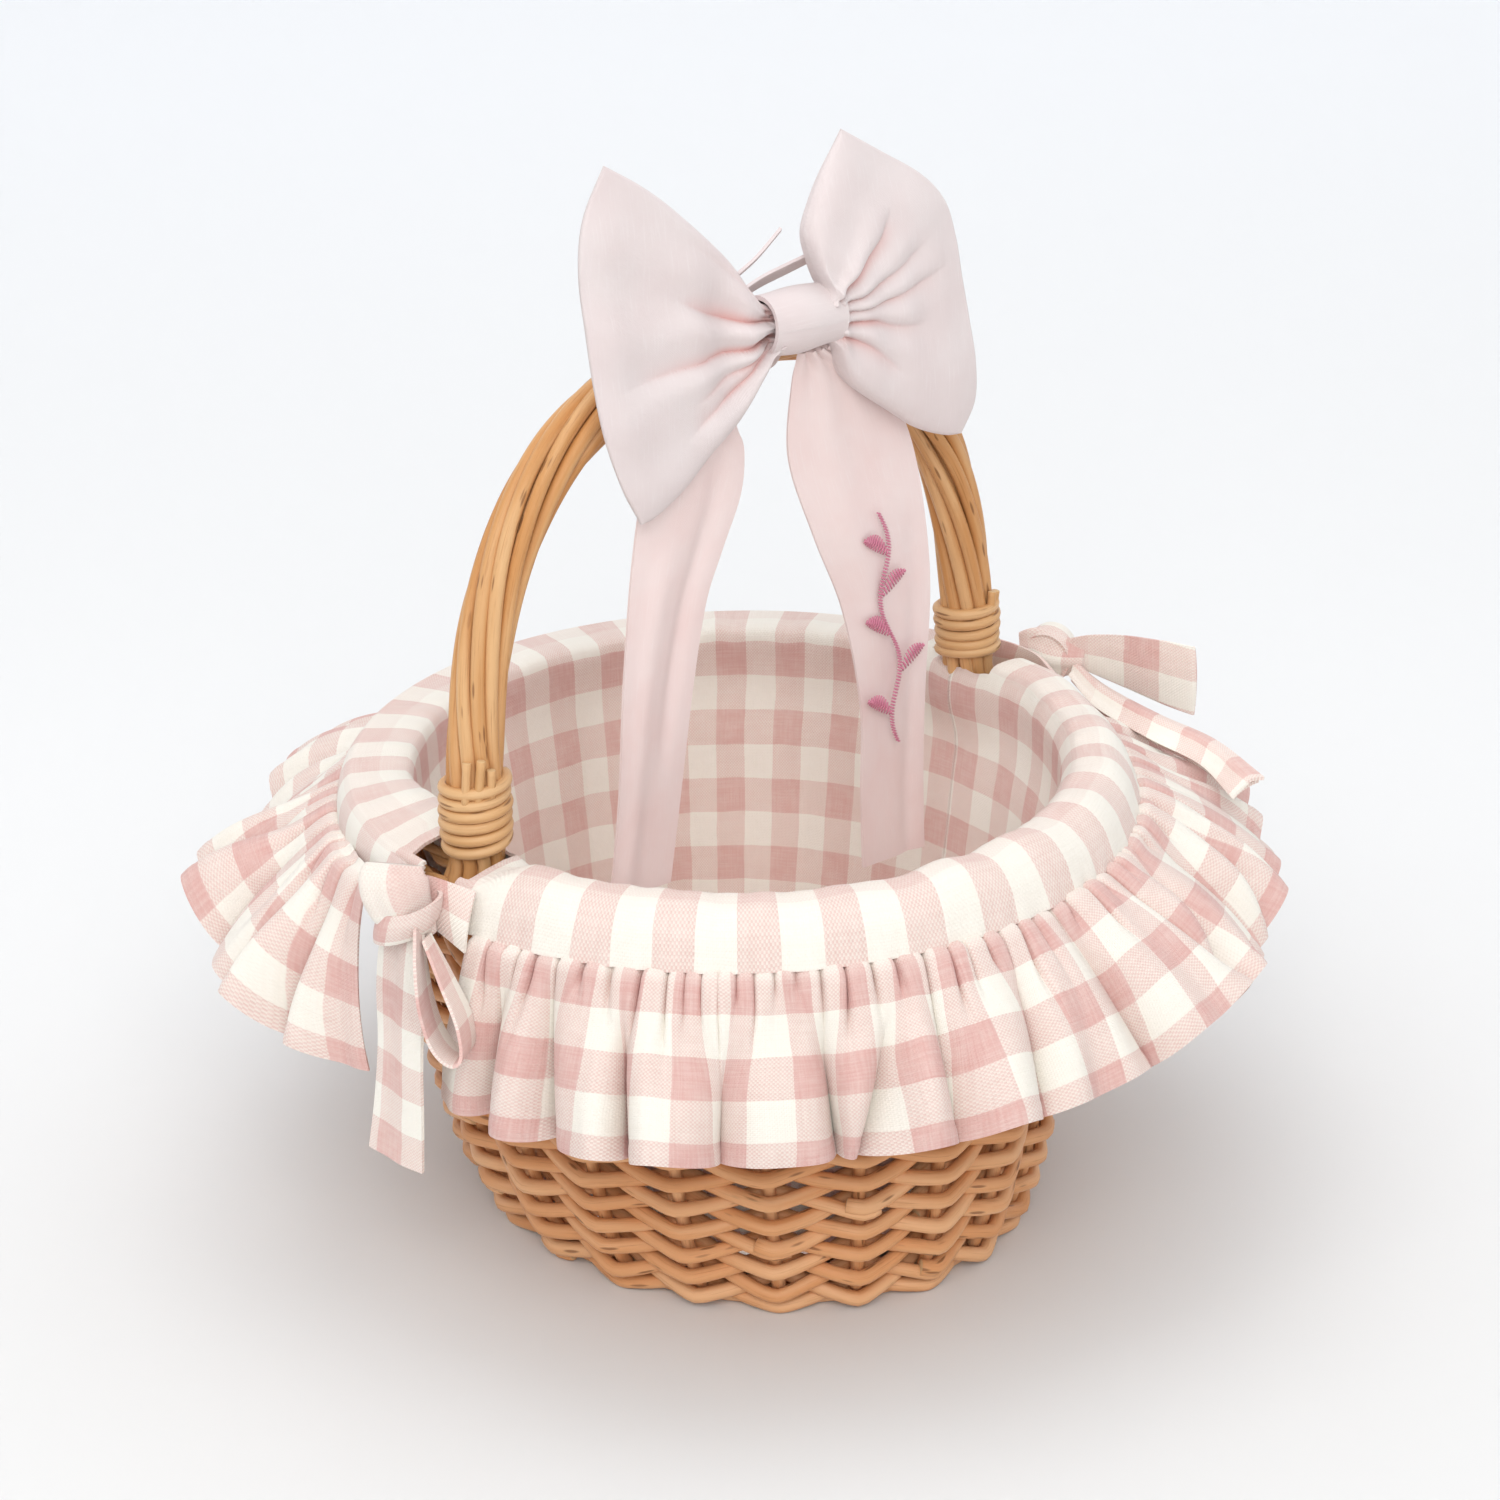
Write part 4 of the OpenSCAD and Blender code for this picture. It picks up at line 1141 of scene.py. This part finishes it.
def wings():
    left_outline = (
        [(-9, -7.2), (-9.5, -0.5), (-9, 6.6)],
        [(-69, -54), (-76, -40), (-81.5, -22), (-83.8, -4), (-84.6, 14), (-85, 32), (-82, 49), (-73.4, 65.2)],
        [(-9, -7.2), (-15, -10), (-20, -17), (-27, -28), (-39, -37), (-50, -46), (-62, -52.6), (-69, -54)],
        [(-9, 6.6), (-15, 9), (-20.7, 15.7), (-29.4, 27.9), (-46.8, 45.5), (-59.7, 56.2), (-73.4, 65.2)])
    left_creases = [
        ([(-13, 2.5), (-28, 6.5), (-39, 11), (-47, 15.5), (-58, 21.5)], 4.6, 1.5, 5.5),
        ([(-13, -3.2), (-26, -3.8), (-40, -4.4), (-61, -6), (-80, -9)], 3.8, 1.3, 5.0),
        ([(-13, -6), (-21, -10), (-29, -17), (-41, -23), (-53, -31)], 5.2, 1.3, 5.5),
        ([(-13, -5), (-24, -9), (-36, -13.5), (-50, -19)], 2.2, 1.0, 3.5),
        ([(-14, 6), (-24, 17), (-38, 30), (-55, 42)], 1.5, 2.0, 6.0)]
    wing("bow_left_wing_cloth", BOW_YAW, left_outline, left_creases, 3.6, -3)
    right_outline = (
        [(9, -7.6), (9.5, -0.5), (9, 6.4)],
        [(66, -53), (71.5, -42), (72, -28), (70, -13), (68, 2), (66.5, 16), (63, 29), (54, 39.5), (38, 50),
         (22.9, 59.6)],
        [(9, -7.6), (13.5, -11.5), (16, -19), (21, -27), (36.7, -39.4), (47.1, -47.2), (58.9, -52.2),
         (66, -53)],
        [(9, 6.4), (11.0, 9.5), (7.4, 18.0), (4.9, 28.1), (8.0, 37.5), (14, 48), (22.9, 59.6)])
    right_creases = [
        ([(13, 5.5), (21.7, 12.4), (29.9, 19.8), (34.6, 26), (40, 35)], 4.8, 1.3, 5.0),
        ([(14, 3), (27.3, 5.8), (41.2, 12), (56.4, 20.5)], 3.4, 1.2, 4.5),
        ([(14, 0.3), (31.7, 0.8), (49.1, 4.5), (65.6, 10.1)], 3.2, 1.1, 4.0),
        ([(14, -3.4), (27, -4.2), (37.3, -8), (54.7, -10.5)], 3.4, 1.2, 4.5),
        ([(14, -6.6), (24.5, -11.8), (32.5, -18.4), (42, -28)], 3.2, 1.2, 4.5)]
    wing("bow_right_wing_cloth", SWEEP, right_outline, right_creases, 4.2, 2)


def bow_middle():
    """The wrap around the bow's middle, the strap that holds it to the handle, and the ribbon ends behind."""
    a = full_turn(72)[:, None]
    x = np.linspace(-14.2, 15.2, 30)
    pinch = 0.5 * np.cos(x / 15 * math.pi) + 0.25 * np.sin(3 * a + x / 5)
    grid = stack(x + 0.6 * np.sin(2 * a), -(9.8 + pinch) * np.cos(a),
                 (9.9 + pinch) * np.sin(a) + math.tan(math.radians(-2)) * x)
    piece = sheet_mesh("bow_knot_cloth", bow_place(grid), stack(a * 9.5, x) * MM, 1.6, COTTON, loop_rows=True)
    settle(piece, "bow", "ribbon_cotton")
    a = full_turn(80)[:, None]
    x = np.linspace(-6.5, 6.5, 16)
    r = 11.2 + 0.3 * np.sin(4 * a + x / 3)
    grid = stack(x + KNOT[0], r * np.cos(a), r * np.sin(a) + HANDLE_TOP)
    piece = sheet_mesh("bow_strap_cloth", grid[:, ::-1], stack(a * 11.2, x) * MM, 1.2, COTTON, loop_rows=True)
    settle(piece, "bow", "ribbon_cotton")
    for name, side, rows in (
            ("bow_back_ribbon", (-0.5, -0.7, 0.56),
             [((-17, 8, 9.5), 10), ((-6, 10, 12), 11), ((6, 11, 14), 11), ((16, 11, 16), 10)]),
            ("bow_back_edge", (-0.59, -0.71, 0.36),
             [((-13, 13, 15.2), 10.2), ((-5, 13, 19.5), 10.5), ((5, 13, 27), 10.2)])):
        strap(name, [(bow_place(p), side, w) for p, w in rows], material=COTTON, body="bow", thick=1.0)


def tail(name, body, rows, folds):
    """A ribbon tail; rows hold its drop, middle, width and distance back, and folds run down it."""
    count, lanes = 150, 33
    table = spline([[middle, back, -drop, width] for drop, middle, width, back in rows], count)
    share = np.linspace(-0.5, 0.5, lanes)
    width = table[:, 3:4]
    down = np.linspace(0, 1, count)[:, None]
    y = 1.4 * np.exp(-down / 0.07) * np.cos(TAU * 3.5 * share)
    for middle, depth, narrow, start, end in folds:
        reach = smooth((down - start) / 0.15) * (1 - smooth((down - end) / 0.25))
        y = y + depth * reach * hump(share, middle + 0.05 * np.sin(5 * down), narrow)
    y = y - 1.5 * (1 - (2 * share) ** 2) * (0.4 + 0.6 * np.sin(4 * down + 1))
    grid = stack(table[:, :1] + share * width, table[:, 1:2] + y, table[:, 2:3])
    along = lengths_along(table[:, :3]) * MM
    cloth = stack(share * width.max() * MM, along[:, None])
    # painted light: the tails wear the paler, pinker copy of the ribbon
    piece = sheet_mesh(name, bow_place(grid), cloth, 1.3, TAIL_COTTON_PAINTED_LIGHT)
    settle(piece, body, "ribbon_cotton")


def tails():
    tail("bow_left_tail_cloth", "left_tail",
         [(9, -14, 10, 2), (18, -25, 14, 3), (27, -36, 24, 4), (34, -39, 33, 4), (42, -40, 40, 4),
          (57, -43, 42, 4), (75, -49, 37, 4), (92, -54, 32, 4), (120, -59, 29, 4), (155, -64, 26, 4),
          (190, -70, 25, 4)],
         [(0.18, 2.5, 0.12, 0.15, 0.6), (-0.2, -1.5, 0.14, 0.3, 0.9)])
    tail("bow_right_tail_cloth", "right_tail",
         [(12, 8, 12, 1), (24, 18, 34, 4), (50, 25, 51, 5), (80, 32, 48, 3), (110, 39, 39, 3),
          (148, 41, 29, 3), (180, 40, 28, 3), (210, 40, 28, 3)],
         [(-0.25, -1.8, 0.16, 0.05, 0.5), (0.3, 1.6, 0.12, 0.3, 0.9)])


def sprig():
    """Satin-stitched sprig on the right tail: a wavy stem with a leaf at every turn."""
    first, last, front = 76.0, 164.0, -1.2
    pile = RodPile()

    def stem(d):
        wave = 3 * math.sin(math.radians(8 * (d - first)))
        return np.array([mix(33, 41, (d - first) / (last - first)) + wave, front, -d])

    for d in np.arange(first, last, 1.1):
        pile.add(bow_place([stem(d) + (-0.9, 0, 0.5), stem(d) + (0, -0.5, 0), stem(d) + (0.9, 0, -0.5)]),
                 [0.3, 0.42, 0.3], [0, 1, 0], 6, tone=0.5)
    for i in range(1, 6):
        side = 1 if i % 2 == 0 else -1
        root = stem(first + 15 * i) + (side * 1.0, 0, 0)
        for k in np.linspace(0, 1, 11):
            middle = root + np.array([side * 9.5 * k, -0.15, 6.5 * k + 1.5 * math.sin(math.pi * k)])
            half = 0.4 + 2.3 * math.sin(math.pi * min(1, k * 0.92 + 0.05)) ** 0.8
            slant = np.array([-side * 0.45, 0, 0.9]) * half
            pile.add(bow_place([middle - slant, middle + (0, -0.5, 0), middle + slant]), [0.28, 0.5, 0.28],
                     [0, 1, 0], 6, tone=0.5)
    pile.make("sprig_stitches", SILK, "embroidery_thread", "embroidered_sprig", body="right_tail")


# ---- build ----
add_camera()
add_studio()
base()
for band, band_name in enumerate(("lower_weave", "middle_weave", "upper_weave")):
    weave_band(band_name, band * ROWS_PER_BAND)
stakes()
borders()
roped_handle()
binding("left_binding", -1, 171.5, 6, [1.6, 0.8, 0.2, 0.1, 0, 0, 0])
binding("right_binding", 1, 173.5, 5, [-1.8, -1.0, 0.6, 0.2, 0, 0])
cane_ends("left_cane_ends", -1, 194.2, [9, 10, 6])
cane_ends("right_cane_ends", 1, 192.2, [5, 4])
liner()
bag_floor()
Ruffle("front_ruffle", math.pi + SLIT, TAU - SLIT,
       [(0, 14), (0.12, 28), (0.3, 31), (0.5, 44), (0.65, 57), (1, 62)],
       [(0, -12), (0.05, -7), (0.14, 0), (0.8, 0), (1, 8)], 16).make()
Ruffle("rear_ruffle", SLIT, math.pi - SLIT,
       [(0, 62), (0.3, 58), (0.6, 60), (0.8, 63), (0.92, 46), (1, 20)],
       [(0, -8), (0.2, 0), (0.8, 0), (1, 14)], 16).make()
left_ties()
right_ties()
wings()
bow_middle()
tails()
sprig()
